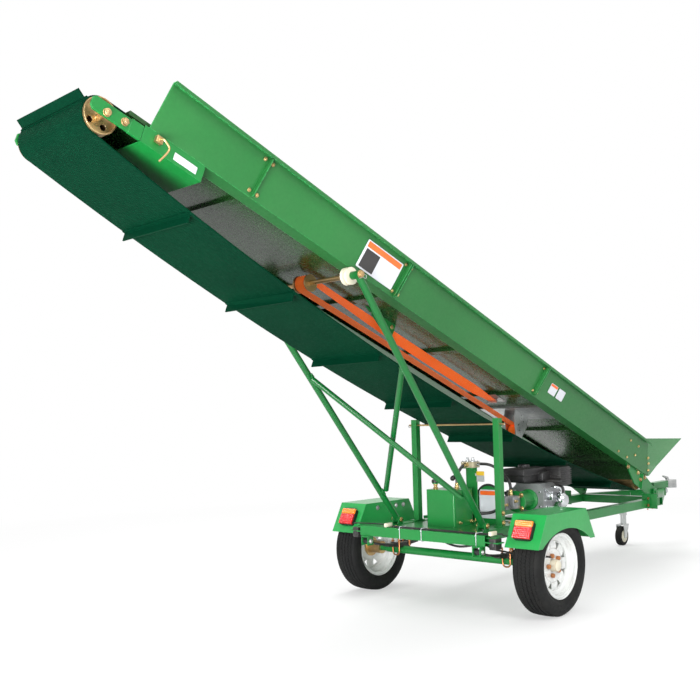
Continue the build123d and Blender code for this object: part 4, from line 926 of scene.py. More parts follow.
def make_rib_tree():
    """Bars across a path at an even pitch."""
    tree, start, end = tree_with("ribs_on_path", [("Pitch", "Float"), ("Rib Width", "Float"),
                                                  ("Rib Height", "Float"), ("Across", "Float"),
                                                  ("Finish", "Material")])
    curve = tree.nodes.new("GeometryNodeMeshToCurve")
    even = tree.nodes.new("GeometryNodeResampleCurve")
    even.mode = "LENGTH"
    tree.links.new(start.outputs["Points"], curve.inputs["Mesh"])
    tree.links.new(curve.outputs["Curve"], even.inputs["Curve"])
    tree.links.new(start.outputs["Pitch"], even.inputs["Length"])
    size = tree.nodes.new("ShaderNodeCombineXYZ")
    for socket, name in zip("XYZ", ("Rib Width", "Across", "Rib Height")):
        tree.links.new(start.outputs[name], size.inputs[socket])
    bar = tree.nodes.new("GeometryNodeMeshCube")
    tree.links.new(size.outputs["Vector"], bar.inputs["Size"])
    tangent = tree.nodes.new("GeometryNodeInputTangent")
    align = tree.nodes.new("FunctionNodeAlignRotationToVector")
    align.axis = "X"
    align.pivot_axis = "Y"
    tree.links.new(tangent.outputs["Tangent"], align.inputs["Vector"])
    copies = tree.nodes.new("GeometryNodeInstanceOnPoints")
    tree.links.new(even.outputs["Curve"], copies.inputs["Points"])
    tree.links.new(bar.outputs["Mesh"], copies.inputs["Instance"])
    tree.links.new(align.outputs["Rotation"], copies.inputs["Rotation"])
    realized(tree, start, end, copies.outputs["Instances"])
    return tree


RIBS = make_rib_tree()
print("trees:", RIBS.name)

# %% [markdown]
# The belt is two pieces, its carrying run with the wraps round both drums, and the slack run
# below. They are kept apart because only the slack run changes its shape: it draws in as the
# trough tilts. Each joins its plain node with its ribs. Faces that stand proud of the band are
# cleats, and faces that look sideways are its cut edges, so the finish is chosen face by face.

# %% The two runs of the belt
WRAP_STEPS = 20
SLACK_STEPS = 60


def ribbed_belt(name, node, path, outside):
    """A belt node with ribs on its face; cleats and edges get their own finishes."""
    line = bpy.data.meshes.new("path")
    line.from_pydata(path, [(k, k + 1) for k in range(len(path) - 1)], [])
    bars = bake_tree(RIBS, line, {"Pitch": RIB_PITCH, "Rib Width": RIB_SIZE[0],
                                  "Rib Height": 2 * RIB_SIZE[1], "Across": 2 * BELT_HALF - 0.006,
                                  "Finish": BELT_GREEN})
    made = merged_copy(node)
    for face in made.faces:
        centre = face.calc_center_median()
        if outside(centre) > CLEAT_FROM:
            face.material_index = 1
        elif abs(face.normal.y) > 0.9 and abs(centre.y) > BELT_HALF - EDGE_STRIP:
            face.material_index = 2
    made.from_mesh(bars)
    return settle(name, mesh_of(made), [BELT_GREEN, CLEAT_GREEN, BELT_EDGE], "trough",
                  replaced=(node,), slot="belt_green", crease=25)


def trough_place(point):
    """How far up the trough and how far off it a point lies."""
    away = point - trough(0, 0, 0)
    return away.dot(UP_TROUGH), away.dot(OFF_TROUGH)


def outside_carry(point):
    """Height of a point over the carrying run and the drums' wraps."""
    s, n = trough_place(point)
    if DRUM_SPAN[0] <= s <= DRUM_SPAN[1]:
        return n - DRUM_N - BELT_OUTER
    nearest = DRUM_SPAN[0] if s < DRUM_SPAN[0] else DRUM_SPAN[1]
    return math.hypot(s - nearest, n - DRUM_N) - BELT_OUTER


def outside_return(point):
    """Depth of a point under the slack run."""
    s, n = trough_place(point)
    return sag_drop(min(max(s, DRUM_SPAN[0]), DRUM_SPAN[1])) - n


wrap = [math.pi * k / WRAP_STEPS for k in range(WRAP_STEPS + 1)]
carry_path = [trough(drum + way * BELT_OUTER * math.sin(a), 0, DRUM_N + way * BELT_OUTER * math.cos(a))
              for drum, way in zip(DRUM_SPAN, (-1, 1)) for a in wrap]
return_path = [trough(DRUM_SPAN[0] + (DRUM_SPAN[1] - DRUM_SPAN[0]) * k / SLACK_STEPS, 0, 0)
               for k in range(SLACK_STEPS + 1)]
return_path = [p + sag_drop(trough_place(p)[0]) * OFF_TROUGH for p in return_path]
belt_top = ribbed_belt("belt_carrying_run", "belt_carry", carry_path, outside_carry)
belt_slack = ribbed_belt("belt_slack_run", "belt_return", return_path, outside_return)
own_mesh(belt_slack)
print("belt faces:", len(belt_top.data.polygons), len(belt_slack.data.polygons))

# %% [markdown]
# The tyres are road tyres: a smooth carcass turned from its section, and a tread of five ribs cut
# into small blocks by cross sipes. Bump could draw the tread, but its blocks break the tyre's
# outline, so they are real: one shape repeated round the crown, and every second rib shifted by
# half a block, as the mould does it.

# %% Tyres
AXLE_Z = 0.28
HALF_TRACK = 0.663
TYRE_RADIUS = 0.28
TREAD_DEPTH = 0.006
TREAD_RIBS = [-0.050, -0.0258, 0.0, 0.0258, 0.050]
TREAD_BLOCKS = 92
BLOCK_WIDTH = 0.0205
SIPE_GAP = 0.0022
SIPE_SKEW = 0.32
CROWN_FALL = 1.2
CARCASS_GAP = 0.0004
# Half of the section, from the crown to the bead: distance from the middle, radius
TYRE_HALF = [(0.0, 0.2745), (0.03, 0.2743), (0.058, 0.2725), (0.068, 0.2700), (0.076, 0.2640),
             (0.0815, 0.2540), (0.0845, 0.2480), (0.0862, 0.2380), (0.0870, 0.2260), (0.0862, 0.2150),
             (0.0842, 0.2070), (0.0828, 0.2055), (0.0790, 0.1970), (0.0735, 0.1895), (0.0680, 0.1852),
             (0.0620, 0.1845), (0.0616, 0.1655)]


def tyre(name, node, body, side):
    """Carcass and tread of one tyre, with its axle along y."""
    middle = Vector((AXLE_X, side * HALF_TRACK, AXLE_Z))
    blocks = []
    for row, across in enumerate(TREAD_RIBS):
        for k in range(TREAD_BLOCKS):
            turn = math.tau * (k + 0.5 * (row % 2)) / TREAD_BLOCKS
            out = Vector((math.cos(turn), 0, math.sin(turn)))
            crown = TYRE_RADIUS - TREAD_DEPTH / 2 - CARCASS_GAP - CROWN_FALL * across * across
            skew = SIPE_SKEW if row % 2 else -SIPE_SKEW
            along = Vector((-out.z, 0, out.x))
            blocks.append((middle + across * LEFT + crown * out, out, LEFT + skew * along))
    shape = bmesh.new()
    pitch = math.tau * TYRE_RADIUS / TREAD_BLOCKS
    brick(shape, (pitch - SIPE_GAP, BLOCK_WIDTH, TREAD_DEPTH), Matrix.Identity(4))
    tread = repeated(shape, blocks, TYRE_RUBBER)
    made = bmesh.new()
    section = [(r, y) for y, r in TYRE_HALF] + [(r, -y) for y, r in reversed(TYRE_HALF[1:])]
    turned(made, section, facing(middle, LEFT), steps=96, ring=True)
    bmesh.ops.recalc_face_normals(made, faces=made.faces)
    made.from_mesh(tread)
    return settle(name, mesh_of(made), TYRE_RUBBER, body, replaced=(node,), slot="tyre_black", crease=30)


for side, end in ((1, "left"), (-1, "right")):
    rubber = tyre("tyre_rubber_" + end, "tyre_" + end, "wheel_" + end, side)
    print(rubber.name, len(rubber.data.polygons))

# %% [markdown]
# Bolts hold nearly everything on this machine. One bolt is a washer, a six-sided head with a
# chamfered top and, where it shows, a short thread end. Each could be set by hand, but the tree
# does it from a list of places, and turns each by chance about its own axis, as a spanner would.

# %% Bolts
def bolt_shape(width=0.013, height=0.007, washer=0.0135, stud=0.0):
    """A washer and a six-sided head, standing on z = 0."""
    shape = bmesh.new()
    upright = Matrix.Identity(4)
    turned(shape, [(0, 0), (washer, 0), (washer, 0.0016), (washer - 0.0006, 0.0022), (0, 0.0022)],
           upright, steps=14)
    across = width / math.cos(math.pi / 6)
    turned(shape, [(0, 0.002), (across * 0.62, 0.002), (across * 0.62, height),
                   (across * 0.52, height + 0.0015), (0, height + 0.0015)], upright, steps=6)
    if stud:
        turned(shape, [(0, height), (width * 0.3, height), (width * 0.3, height + stud),
                       (width * 0.22, height + stud + 0.001), (0, height + stud + 0.001)],
               upright, steps=10)
    return shape


def bolts(name, places, material, body, size=1.0, slot="zinc", **shape):
    """Bolts on (point, facing) places as one piece."""
    full = [(p, Vector(f).normalized(), Vector(f).normalized().orthogonal()) for p, f in places]
    mesh = repeated(bolt_shape(**shape), full, material, size=size, turn=1.0)
    return settle(name, mesh, material, body, slot=slot, crease=30)


print("bolt shape ready")

# %% [markdown]
# The wheels are held by five copper-coloured nuts on one circle. A pale cap keeps the dust out of
# the bearing, and a rubber valve stem stands out of the rim between two windows. The nuts come
# from the bolt tree with sizes of their own. Cap and stem are round, so each is one profile.

# %% Wheel nuts, dust caps and valves
NUT_CIRCLE = 0.05715
NUT_COUNT = 5
NUT_SEAT = 0.0195
CAP_SEAT = 0.011
VALVE_SEAT = 0.025
VALVE_CIRCLE = 0.118
VALVE_ANGLE = math.radians(148)
CAP_PROFILE = [(0.0, 0.004), (0.0335, 0.004), (0.0345, 0.010), (0.0335, 0.012), (0.0330, 0.034),
               (0.0318, 0.041), (0.027, 0.0455), (0.016, 0.0478), (0.0, 0.0485)]
VALVE_PROFILE = [(0, 0), (0.0085, 0), (0.0085, 0.008), (0.0055, 0.012), (0.0048, 0.030),
                 (0.0058, 0.031), (0.0058, 0.040), (0.004, 0.042), (0, 0.042)]


def on_wheel(side, reach, radius=0.0, turn=0.0):
    """A place on a wheel's outer side, reach out from its middle."""
    return (Vector((AXLE_X, side * (HALF_TRACK + reach), AXLE_Z))
            + radius * Vector((math.cos(turn), 0, math.sin(turn))))


for side, end in ((1, "left"), (-1, "right")):
    out = side * LEFT
    nuts = [(on_wheel(side, NUT_SEAT, NUT_CIRCLE, math.pi + math.tau * k / NUT_COUNT), out)
            for k in range(NUT_COUNT)]
    bolts("wheel_nuts_" + end, nuts, COPPER_ZINC, "wheel_" + end, slot="zinc_yellow", width=0.019,
          height=0.015, washer=0.0125, stud=0.004)
    made = bmesh.new()
    turned(made, CAP_PROFILE, facing(on_wheel(side, CAP_SEAT), out), steps=32)
    piece_from("dust_cap_" + end, made, NYLON, "wheel_" + end, slot="nylon")
    made = bmesh.new()
    stem = facing(on_wheel(side, VALVE_SEAT, VALVE_CIRCLE, VALVE_ANGLE), out, UP)
    turned(made, VALVE_PROFILE, stem, steps=14)
    piece_from("valve_stem_" + end, made, BLACK_PLASTIC, "wheel_" + end, slot="cover_black")
print("wheels dressed")

# %% [markdown]
# The rims are pressed steel with eight three-cornered windows and a dished centre. Barrel and
# disc are two turned sections. Modelling the holes face by face would spoil the round disc, so
# a Boolean modifier cuts the windows from it and leaves clean sharp holes.

# %% Rims with windows
RIM_WINDOWS = 8
RIM_SECTION = [(0.183, -0.071), (0.181, -0.062), (0.165, -0.062), (0.165, -0.022), (0.142, -0.014),
               (0.142, 0.022), (0.165, 0.030), (0.165, 0.062), (0.181, 0.062), (0.183, 0.071),
               (0.179, 0.0715), (0.1755, 0.058), (0.161, 0.058), (0.161, 0.033), (0.1385, 0.0265),
               (0.1385, -0.0165), (0.161, -0.0255), (0.161, -0.058), (0.175, -0.058), (0.179, -0.071)]
DISC_SECTION = [(0.036, 0.0115), (0.082, 0.0115), (0.090, 0.0160), (0.098, 0.0230), (0.106, 0.0262),
                (0.126, 0.0230), (0.1392, 0.0190), (0.1392, 0.0150), (0.126, 0.0188), (0.106, 0.0218),
                (0.099, 0.0190), (0.091, 0.0195), (0.082, 0.0178), (0.036, 0.0178)]
WINDOW_OUTLINE = [(-0.019, 0.131), (-0.021, 0.128), (-0.003, 0.094), (0.003, 0.094),
                  (0.021, 0.128), (0.019, 0.131)]
WINDOW_DEPTH = 0.06


def windowed_rim(name, node, body, side):
    """A wheel rim: rolled barrel, dished disc and its cut windows."""
    middle = Vector((AXLE_X, side * HALF_TRACK, AXLE_Z))
    axle = facing(middle, side * LEFT)
    shapes = []
    for section in (RIM_SECTION, DISC_SECTION):
        made = bmesh.new()
        turned(made, section, axle, steps=72, ring=True)
        bmesh.ops.recalc_face_normals(made, faces=made.faces)
        shapes.append(made)
    cutter = bmesh.new()
    for k in range(RIM_WINDOWS):
        turn = math.tau * (k + 0.5) / RIM_WINDOWS
        out = Vector((math.cos(turn), 0, math.sin(turn)))
        slab(cutter, WINDOW_OUTLINE, WINDOW_DEPTH, facing(middle, side * LEFT, out))
    bmesh.ops.recalc_face_normals(cutter, faces=cutter.faces)
    objects = []
    for made in (shapes[1], cutter):
        objects.append(bpy.data.objects.new("work", mesh_of(made)))
        bpy.context.collection.objects.link(objects[-1])
    objects[0].modifiers.new("windows", "BOOLEAN").object = objects[1]
    shapes[0].from_mesh(applied(objects[0]))
    for work in objects:
        bpy.data.objects.remove(work)
    return settle(name, mesh_of(shapes[0]), RIM_WHITE, body, replaced=(node,), slot="rim_white")


for side, end in ((1, "left"), (-1, "right")):
    rim = windowed_rim("rim_windowed_" + end, "rim_" + end, "wheel_" + end, side)
    print(rim.name, len(rim.data.polygons))

# %% [markdown]
# The tail lamps are a dark housing with two lenses, amber above and red below. Each lens carries
# rows of small four-sided prisms that scatter the light. A bump would stay flat against the
# light, so the prisms are real, and low in faces because there are so many of them.

# %% Tail lamps
LENS_AMBER = finish("lens_amber", rgb(255, 140, 24), rgb(240, 110, 10), (0.08, 0.16), coat=0.6, edge=0.2,
                    wear_and_highlight=rgb(255, 196, 96), dust=0.03, slow=30.0, amount=0.5)
LENS_RED = finish("lens_red", rgb(214, 8, 18), rgb(170, 2, 10), (0.08, 0.16), coat=0.6, edge=0.3,
                  wear_and_highlight=rgb(255, 96, 96), dust=0.03, slow=30.0, amount=0.6)
LAMP_LEAN = math.atan2(0.097, 0.176)
LAMP_OUT = Vector((-math.cos(LAMP_LEAN), 0, math.sin(LAMP_LEAN)))
LAMP_RISE = Vector((math.sin(LAMP_LEAN), 0, math.cos(LAMP_LEAN)))
LENS_WIDE, LENS_DEEP, LENS_FOOT = 0.112, 0.0345, 0.010
PRISM_COLUMNS = 10
PRISM = [(0.0052, 0), (0.0052, 0.001), (0.0, 0.0034)]


def lens(made, low, high, frame, rows):
    """A lens between two heights with a grid of small prisms."""
    brick(made, (LENS_WIDE, high - low, LENS_DEEP - LENS_FOOT), frame @ Matrix.Translation(
        (0, (low + high) / 2, (LENS_DEEP + LENS_FOOT) / 2 - 0.002)), 0.007)
    for row in range(rows):
        for column in range(PRISM_COLUMNS):
            y = low + (high - low) * (row + 0.5) / rows
            x = 0.94 * LENS_WIDE * ((column + 0.5) / PRISM_COLUMNS - 0.5)
            turned(made, PRISM, frame @ Matrix.Translation((x, y, LENS_DEEP - 0.003)), steps=4)


housings, ambers, reds = bmesh.new(), bmesh.new(), bmesh.new()
for side in (1, -1):
    seat = facing(chassis(-0.2265, side * 0.648, 0.491), LAMP_OUT, LAMP_RISE)
    slab(housings, rounded(0.120, 0.112, 0.022), 0.024, seat)
    lens(ambers, 0.0165, 0.052, seat, 3)
    lens(reds, -0.052, 0.0155, seat, 6)
for name, made, material in (("lamp_housings", housings, BLACK_PLASTIC),
                             ("lamp_lenses_amber", ambers, LENS_AMBER),
                             ("lamp_lenses_red", reds, LENS_RED)):
    piece_from(name, made, material, "chassis", replaced=("tail_lights",), slot="lamp_red")
print("tail lamps made")

# %% [markdown]
# The lift strap is orange webbing, woven flat. Its weave is drawn on the band's own UV map, so the
# threads follow it round the sheave. The material also glows a little: painted light that keeps the
# strap bright in the shade of the trough.

# %% Webbing
STRAP_PAINTED_GLOW = 0.30


def webbing_material():
    """Woven webbing: fine twill, two darker edge lines and a faint painted glow."""
    material = bpy.data.materials.new("orange_webbing")
    made, links, shader = nodes_of(material)
    place = made.new("ShaderNodeTexCoord").outputs["UV"]
    split = made.new("ShaderNodeSeparateXYZ")
    links.new(place, split.inputs[0])
    along = calc(made, links, "MULTIPLY", split.outputs["X"], 2600.0)
    over = calc(made, links, "MULTIPLY", split.outputs["Y"], 150.0)
    twill = calc(made, links, "SINE", calc(made, links, "ADD", along, over))
    rows = calc(made, links, "SINE", calc(made, links, "MULTIPLY", over, 2.0))
    weave = calc(made, links, "MULTIPLY", twill, rows)
    tone = placed(made, TONE, Colour=rgb(255, 122, 40), Deep=rgb(250, 100, 26), Slow_Scale=4.0,
                  Fine_Scale=260.0, Amount=0.5)
    middle = calc(made, links, "ABSOLUTE", calc(made, links, "SUBTRACT", split.outputs["Y"], 0.5))
    edge = span(made, links, middle, 0.40, 0.44, 0.0, 0.35)
    colour = mix_colour(made, links, span(made, links, weave, -0.6, 0.8, 0.22, 0.0),
                        tone.outputs["Colour"], rgb(206, 66, 14))
    woven = mix_colour(made, links, edge, colour, rgb(226, 74, 18))
    links.new(woven, shader.inputs["Base Color"])
    # Painted light: the webbing's own colour is also emitted, so it glows in the trough's shade.
    links.new(woven, shader.inputs["Emission Color"])
    shader.inputs["Emission Strength"].default_value = STRAP_PAINTED_GLOW
    bump = made.new("ShaderNodeBump")
    bump.inputs["Distance"].default_value = 0.0004
    links.new(weave, bump.inputs["Height"])
    links.new(bump.outputs["Normal"], shader.inputs["Normal"])
    links.new(span(made, links, weave, -1.0, 1.0, 0.85, 0.7), shader.inputs["Roughness"])
    shader.inputs["Specular IOR Level"].default_value = 0.2
    shader.inputs["Sheen Weight"].default_value = 0.15
    return material


WEBBING = webbing_material()
print("webbing:", WEBBING.name)

# %% [markdown]
# The strap is one band. It runs from its hook up round the sheave on the leg shaft and back to
# the winch, where three turns are wound up. The upper run is turned a little on its way, as a
# loose strap is. A cloth simulation could hang it, but this strap is under load and its route is
# known, so the band is built along it. Its places are given as (up the trough, off the trough).

# %% Lift strap
STRAP_HALF = 0.030
STRAP_THICK = 0.0022
STRAP_HOOK = (1.872, 0.060)
STRAP_DIP = 0.010
STRAP_TWIST = math.radians(40)
TWIST_IN, TWIST_OUT = 0.14, 0.55
SHEAVE = (3.669, 0.032)
SHEAVE_REACH = 0.0418
WINCH = (1.56, -0.036)
WINCH_REACH = 0.029
WINCH_TURNS = 3
LAYER_PITCH = 0.0024


def band(made, line, twists, widths):
    """A flat woven band along (s, n) points; UV x runs along it in metres."""
    layer = made.loops.layers.uv.verify()
    rounds, travelled = [], [0.0]
    for k, (s, n) in enumerate(line):
        s0, n0 = line[max(k - 1, 0)]
        s1, n1 = line[min(k + 1, len(line) - 1)]
        ahead = Vector((s1 - s0, n1 - n0)).normalized()
        off = -ahead.y * UP_TROUGH + ahead.x * OFF_TROUGH
        out = math.cos(twists[k]) * off + math.sin(twists[k]) * LEFT
        wide = math.cos(twists[k]) * LEFT - math.sin(twists[k]) * off
        middle = trough(s, 0, n)
        half, thick = widths[k], STRAP_THICK / 2
        rounds.append([made.verts.new(middle + a * half * wide + b * thick * out)
                       for a, b in ((-1, -1), (1, -1), (1, 1), (-1, 1))])
        if k:
            travelled.append(travelled[-1] + math.dist(line[k], line[k - 1]))
    for k, (low, high) in enumerate(zip(rounds, rounds[1:])):
        for j in range(4):
            face = made.faces.new((low[j], low[(j + 1) % 4], high[(j + 1) % 4], high[j]))
            ends = ((0, 1), (1, 1), (1, 0), (0, 0))[j]
            for loop, (x, y) in zip(face.loops, ((travelled[k], ends[0]), (travelled[k], ends[1]),
                                                 (travelled[k + 1], ends[1]),
                                                 (travelled[k + 1], ends[0]))):
                loop[layer].uv = (x, y)
    made.faces.new(rounds[0])
    made.faces.new(rounds[-1])


def strap():
    """The whole strap as one band: hook, sheave, lower run and winch turns."""
    line, twists = [], []
    top = (SHEAVE[0], SHEAVE[1] + SHEAVE_REACH)
    for k in range(31):
        t = k / 30
        line.append((STRAP_HOOK[0] + (top[0] - STRAP_HOOK[0]) * t,
                     STRAP_HOOK[1] + (top[1] - STRAP_HOOK[1]) * t - STRAP_DIP * math.sin(math.pi * t)))
        ease = min(1.0, t / TWIST_IN, (1 - t) / TWIST_OUT)
        twists.append(STRAP_TWIST * ease * ease * (3 - 2 * ease))
    for k in range(1, 17):
        turn = math.pi / 2 - math.pi * k / 16
        line.append((SHEAVE[0] + SHEAVE_REACH * math.cos(turn), SHEAVE[1] + SHEAVE_REACH * math.sin(turn)))
    low, end = line[-1], (WINCH[0], WINCH[1] + WINCH_REACH)
    line += [(low[0] + (end[0] - low[0]) * k / 24, low[1] + (end[1] - low[1]) * k / 24)
             for k in range(1, 25)]
    widths = [STRAP_HALF] * len(line)
    for k in range(1, 24 * WINCH_TURNS + 1):
        turn = math.pi / 2 + math.tau * k / 24
        reach = WINCH_REACH - LAYER_PITCH * k / 24
        line.append((WINCH[0] + reach * math.cos(turn), WINCH[1] + reach * math.sin(turn)))
        widths.append(STRAP_HALF - 0.0005)
    twists += [0.0] * (len(line) - len(twists))
    made = bmesh.new()
    band(made, line, twists, widths)
    return made


lift_strap = piece_from("lift_webbing", strap(), WEBBING, "trough", replaced=("lift_strap",),
                        slot="strap_orange", crease=60)
STRAP_ANCHOR = trough(WINCH[0], 0, WINCH[1])
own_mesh(lift_strap)
core = bmesh.new()
turned(core, [(0, -0.0295), (0.0218, -0.0295), (0.0218, 0.0295), (0, 0.0295)],
       facing(STRAP_ANCHOR, LEFT), steps=24)
piece_from("winch_drum", core, ZINC, "trough", slot="zinc")
print("strap faces:", len(lift_strap.data.polygons))

# %% [markdown]
# The head end is carried by two flat arms, each with a raised collar. Big plated bolts hold the
# shaft and the arm, and a small bent crank beside them sets the belt's tension. Arms and collars
# are flat, so an outline and a thickness give them whole. A side panel leans outwards, so a
# place on it is found from how far up the trough and how high it lies.

# %% Head arms and crank
PANEL_FOOT = (0.314, 0.076)
PANEL_LEAN = (0.074, 0.191)
ARM_SIDE = 0.297
ARM_OUTLINE = [(4.848, 0.004), (5.176, 0.004), (5.190, 0.018), (5.190, 0.050), (5.178, 0.062),
               (4.848, 0.062)]
COLLAR_OUTLINE = [(4.952, 0.002), (5.010, 0.002), (5.010, 0.066), (4.952, 0.066)]


def on_side(s, n, lift=0.0, near=True):
    """A point on a side panel's outer face and the way the face looks."""
    share = (n - PANEL_FOOT[1]) / PANEL_LEAN[1]
    side = -1 if near else 1
    out = Vector((0, side * PANEL_LEAN[1], 0)) - PANEL_LEAN[0] * OFF_TROUGH
    out.normalize()
    return trough(s, side * (PANEL_FOOT[0] + PANEL_LEAN[0] * share), n) + lift * out, out


def both(points):
    """The same places on the near and the far side panel."""
    return [on_side(s, n, near=near) for near in (True, False) for s, n in points]


arms = bmesh.new()
for side in (-1, 1):
    base = facing(trough(0, side * ARM_SIDE, 0), side * LEFT, OFF_TROUGH)
    flip = 1 if (base.to_3x3() @ Vector((1, 0, 0))).dot(UP_TROUGH) > 0 else -1
    for outline, thick in ((ARM_OUTLINE, 0.010), (COLLAR_OUTLINE, 0.013)):
        slab(arms, [(flip * s, n) for s, n in outline], thick, base)
piece_from("head_arms", arms, MACHINE_GREEN, "trough", replaced=("bearing_arms",), slot="machine_green")
head_bolts = [(trough(s, side * 0.3065, n), side * LEFT) for side in (-1, 1)
              for s, n in ((5.118, 0.023), (5.036, 0.034))]
bolts("head_bolts", head_bolts, YELLOW_ZINC, "trough", slot="zinc_yellow", width=0.021, height=0.0128,
      washer=0.0172, stud=0.003)
crank = bmesh.new()
brick(crank, (0.034, 0.030, 0.022), facing(trough(4.880, -0.322, 0.046), -LEFT, OFF_TROUGH), 0.003)
tube(crank, smooth_route([trough(4.880, -0.318, 0.046), trough(4.879, -0.346, 0.045),
                          trough(4.866, -0.354, 0.038), trough(4.846, -0.355, 0.026),
                          trough(4.842, -0.355, 0.010), trough(4.852, -0.355, -0.020),
                          trough(4.868, -0.355, -0.054)], 5), 0.0046, 10)
piece_from("tension_crank", crank, YELLOW_ZINC, "trough", slot="zinc_yellow")
print("head end dressed")

# %% [markdown]
# Small brass-coloured bolts join the trough's side panels, its ribs and its loading lip, and
# larger ones hold the hinge ears. They are small and many, so the tree sets them. Each list gives
# places as (up the trough, off the trough), and the panels' lists serve both sides.

# %% Bolts on the trough
SEAM_AT = (1.889, 3.332, 4.367)
SEAM_HALF = 0.024
panel_bolts = both([(0.618, 0.208), (0.487, 0.207), (0.473, 0.144), (0.561, 0.100), (0.700, 0.100)]
                   + [(s + a, n) for s in SEAM_AT for a in (-SEAM_HALF, SEAM_HALF) for n in (0.10, 0.245)])
bolts("side_panel_bolts", panel_bolts, BRASS, "trough", size=0.72, slot="zinc_yellow")
lip_bolts = both([(0.290, 0.180), (0.249, 0.150), (0.205, 0.110)])
bolts("lip_bolts", lip_bolts, BRASS, "trough", slot="zinc_yellow", size=0.85)
ear_bolts = [(trough(s, side * 0.294, n), side * LEFT) for side in (-1, 1)
             for s, n in ((0.47, 0.055), (0.30, 0.060), (0.185, 0.058), (0.0, 0.0), (0.25, 0.023))]
bolts("ear_bolts", ear_bolts, YELLOW_ZINC, "trough", slot="zinc_yellow", width=0.018, height=0.010,
      washer=0.015)
stop_bolts = [(trough(s, -0.056, n), -LEFT) for s, n in ((3.075, 0.055), (3.035, 0.030), (3.015, 0.072))]
bolts("stop_bolts", stop_bolts, BRASS, "trough", slot="zinc_yellow")
print("trough bolts:", len(panel_bolts) + len(lip_bolts) + len(ear_bolts) + len(head_bolts))

# %% [markdown]
# The plates are thin enamelled steel with round corners, held flat on their panels. Two colours
# of field lie on the white ones. A mask in the material could colour them, but thin slabs a hair
# proud of the plate keep crisp edges at any distance. They are set out in a table.

# %% Blank plates
PLATE_THICK = 0.0012
LEAN_STRETCH = 1.07


def plate_on(made, corner_low, corner_high, lift, near, radius):
    """A thin plate on a side panel between two (s, n) corners."""
    (s0, n0), (s1, n1) = corner_low, corner_high
    middle, out = on_side((s0 + s1) / 2, (n0 + n1) / 2, lift, near)
    frame_here = facing(middle, out, OFF_TROUGH)
    slab(made, rounded(abs(s1 - s0), abs(n1 - n0) * LEAN_STRETCH, radius, 3), PLATE_THICK, frame_here)


white, orange, dark = bmesh.new(), bmesh.new(), bmesh.new()
# Each plate: mesh, lower and upper corner as (up the trough, off it), lift, corner radius
PLATES = [(white, (3.37, 0.098), (3.655, 0.238), 0.0002, 0.006),
          (orange, (3.380, 0.205), (3.645, 0.232), 0.0013, 0.003),
          (dark, (3.535, 0.106), (3.640, 0.198), 0.0013, 0.003),
          (white, (1.592, 0.142), (1.672, 0.205), 0.0002, 0.006),
          (white, (1.688, 0.142), (1.772, 0.205), 0.0002, 0.006),
          (orange, (1.692, 0.188), (1.768, 0.202), 0.0013, 0.002)]
for near in (True, False):
    for made, low, high, lift, radius in PLATES:
        plate_on(made, low, high, lift, near, radius)
label = facing(trough(4.727, -0.3112, 0.032), -LEFT, OFF_TROUGH)
slab(white, rounded(0.122, 0.034, 0.003, 3), 0.001, label)
piece_from("blank_plates_white", white, PLATE_WHITE, "trough", slot="grey_plastic")
piece_from("blank_plates_orange", orange, PLATE_ORANGE, "trough", slot="strap_orange")
piece_from("blank_plates_dark", dark, PLATE_DARK, "trough", slot="cover_black")
print("blank plates set")

# %% [markdown]
# The hydraulics are dressed where an owner looks, first where each hose ends. A hose nut is a
# hexagon with a crimped sleeve behind it, and the same small shape serves every hose end.

# %% Hose ends
PUMP_Y, PUMP_Z = -0.265, 0.590


def hose_nut():
    """A hexagon nut with a crimped sleeve, standing on z = 0."""
    shape = bmesh.new()
    upright = Matrix.Identity(4)
    turned(shape, [(0, 0), (0.0150, 0), (0.0150, 0.013), (0.0135, 0.015), (0, 0.015)], upright, steps=6)
    turned(shape, [(0, 0.014), (0.0118, 0.014), (0.0122, 0.018), (0.0112, 0.020), (0.0122, 0.023),
                   (0.0112, 0.026), (0.0122, 0.029), (0.0112, 0.033), (0.0098, 0.036), (0, 0.036)],
           upright, steps=16)
    return shape


hose_ends = [(chassis(0.172, -0.05, 0.824), AHEAD), (chassis(0.098, -0.05, 0.824), -AHEAD),
             (chassis(0.024, -0.024, 0.682), UP), (chassis(0.246, PUMP_Y, 0.632), UP),
             (chassis(0.196, PUMP_Y, 0.578), -AHEAD), (chassis(0.090, -0.070, 0.532), AHEAD)]
nut_mesh = repeated(hose_nut(), [(p, f, f.orthogonal()) for p, f in hose_ends], BRASS)
settle("hose_nuts", nut_mesh, BRASS, "chassis", slot="zinc_yellow", crease=30)
print("hose ends:", len(hose_ends))

# %% [markdown]
# The valve's two spools end in bright caps between its tie bolts. A round black knob sits on its
# lever, and the oil tank breathes through a vented cap of the same plastic. All of them are
# turned parts, so a profile says everything about their shape.

# %% Valve caps, knob and tank cap
spools = bmesh.new()
for y in (-0.070, -0.030):
    turned(spools, [(0, 0.0), (0.0128, 0.0), (0.0128, 0.010), (0.0108, 0.013), (0.0080, 0.014),
                    (0.0080, 0.024), (0.0062, 0.027), (0, 0.027)], facing(chassis(0.135, y, 0.8415), UP))
for x, y in ((0.112, -0.089), (0.158, -0.089), (0.112, -0.011), (0.158, -0.011)):
    peg(spools, facing(chassis(x, y, 0.8415), UP), 0.0042, 0.005, 0.0062)
turned(spools, [(0, 0), (0.009, 0), (0.009, 0.010), (0.006, 0.014), (0, 0.014)],
       facing(chassis(0.135, -0.1, 0.826), -LEFT), steps=6)
piece_from("valve_caps", spools, CHROME, "chassis", slot="zinc")

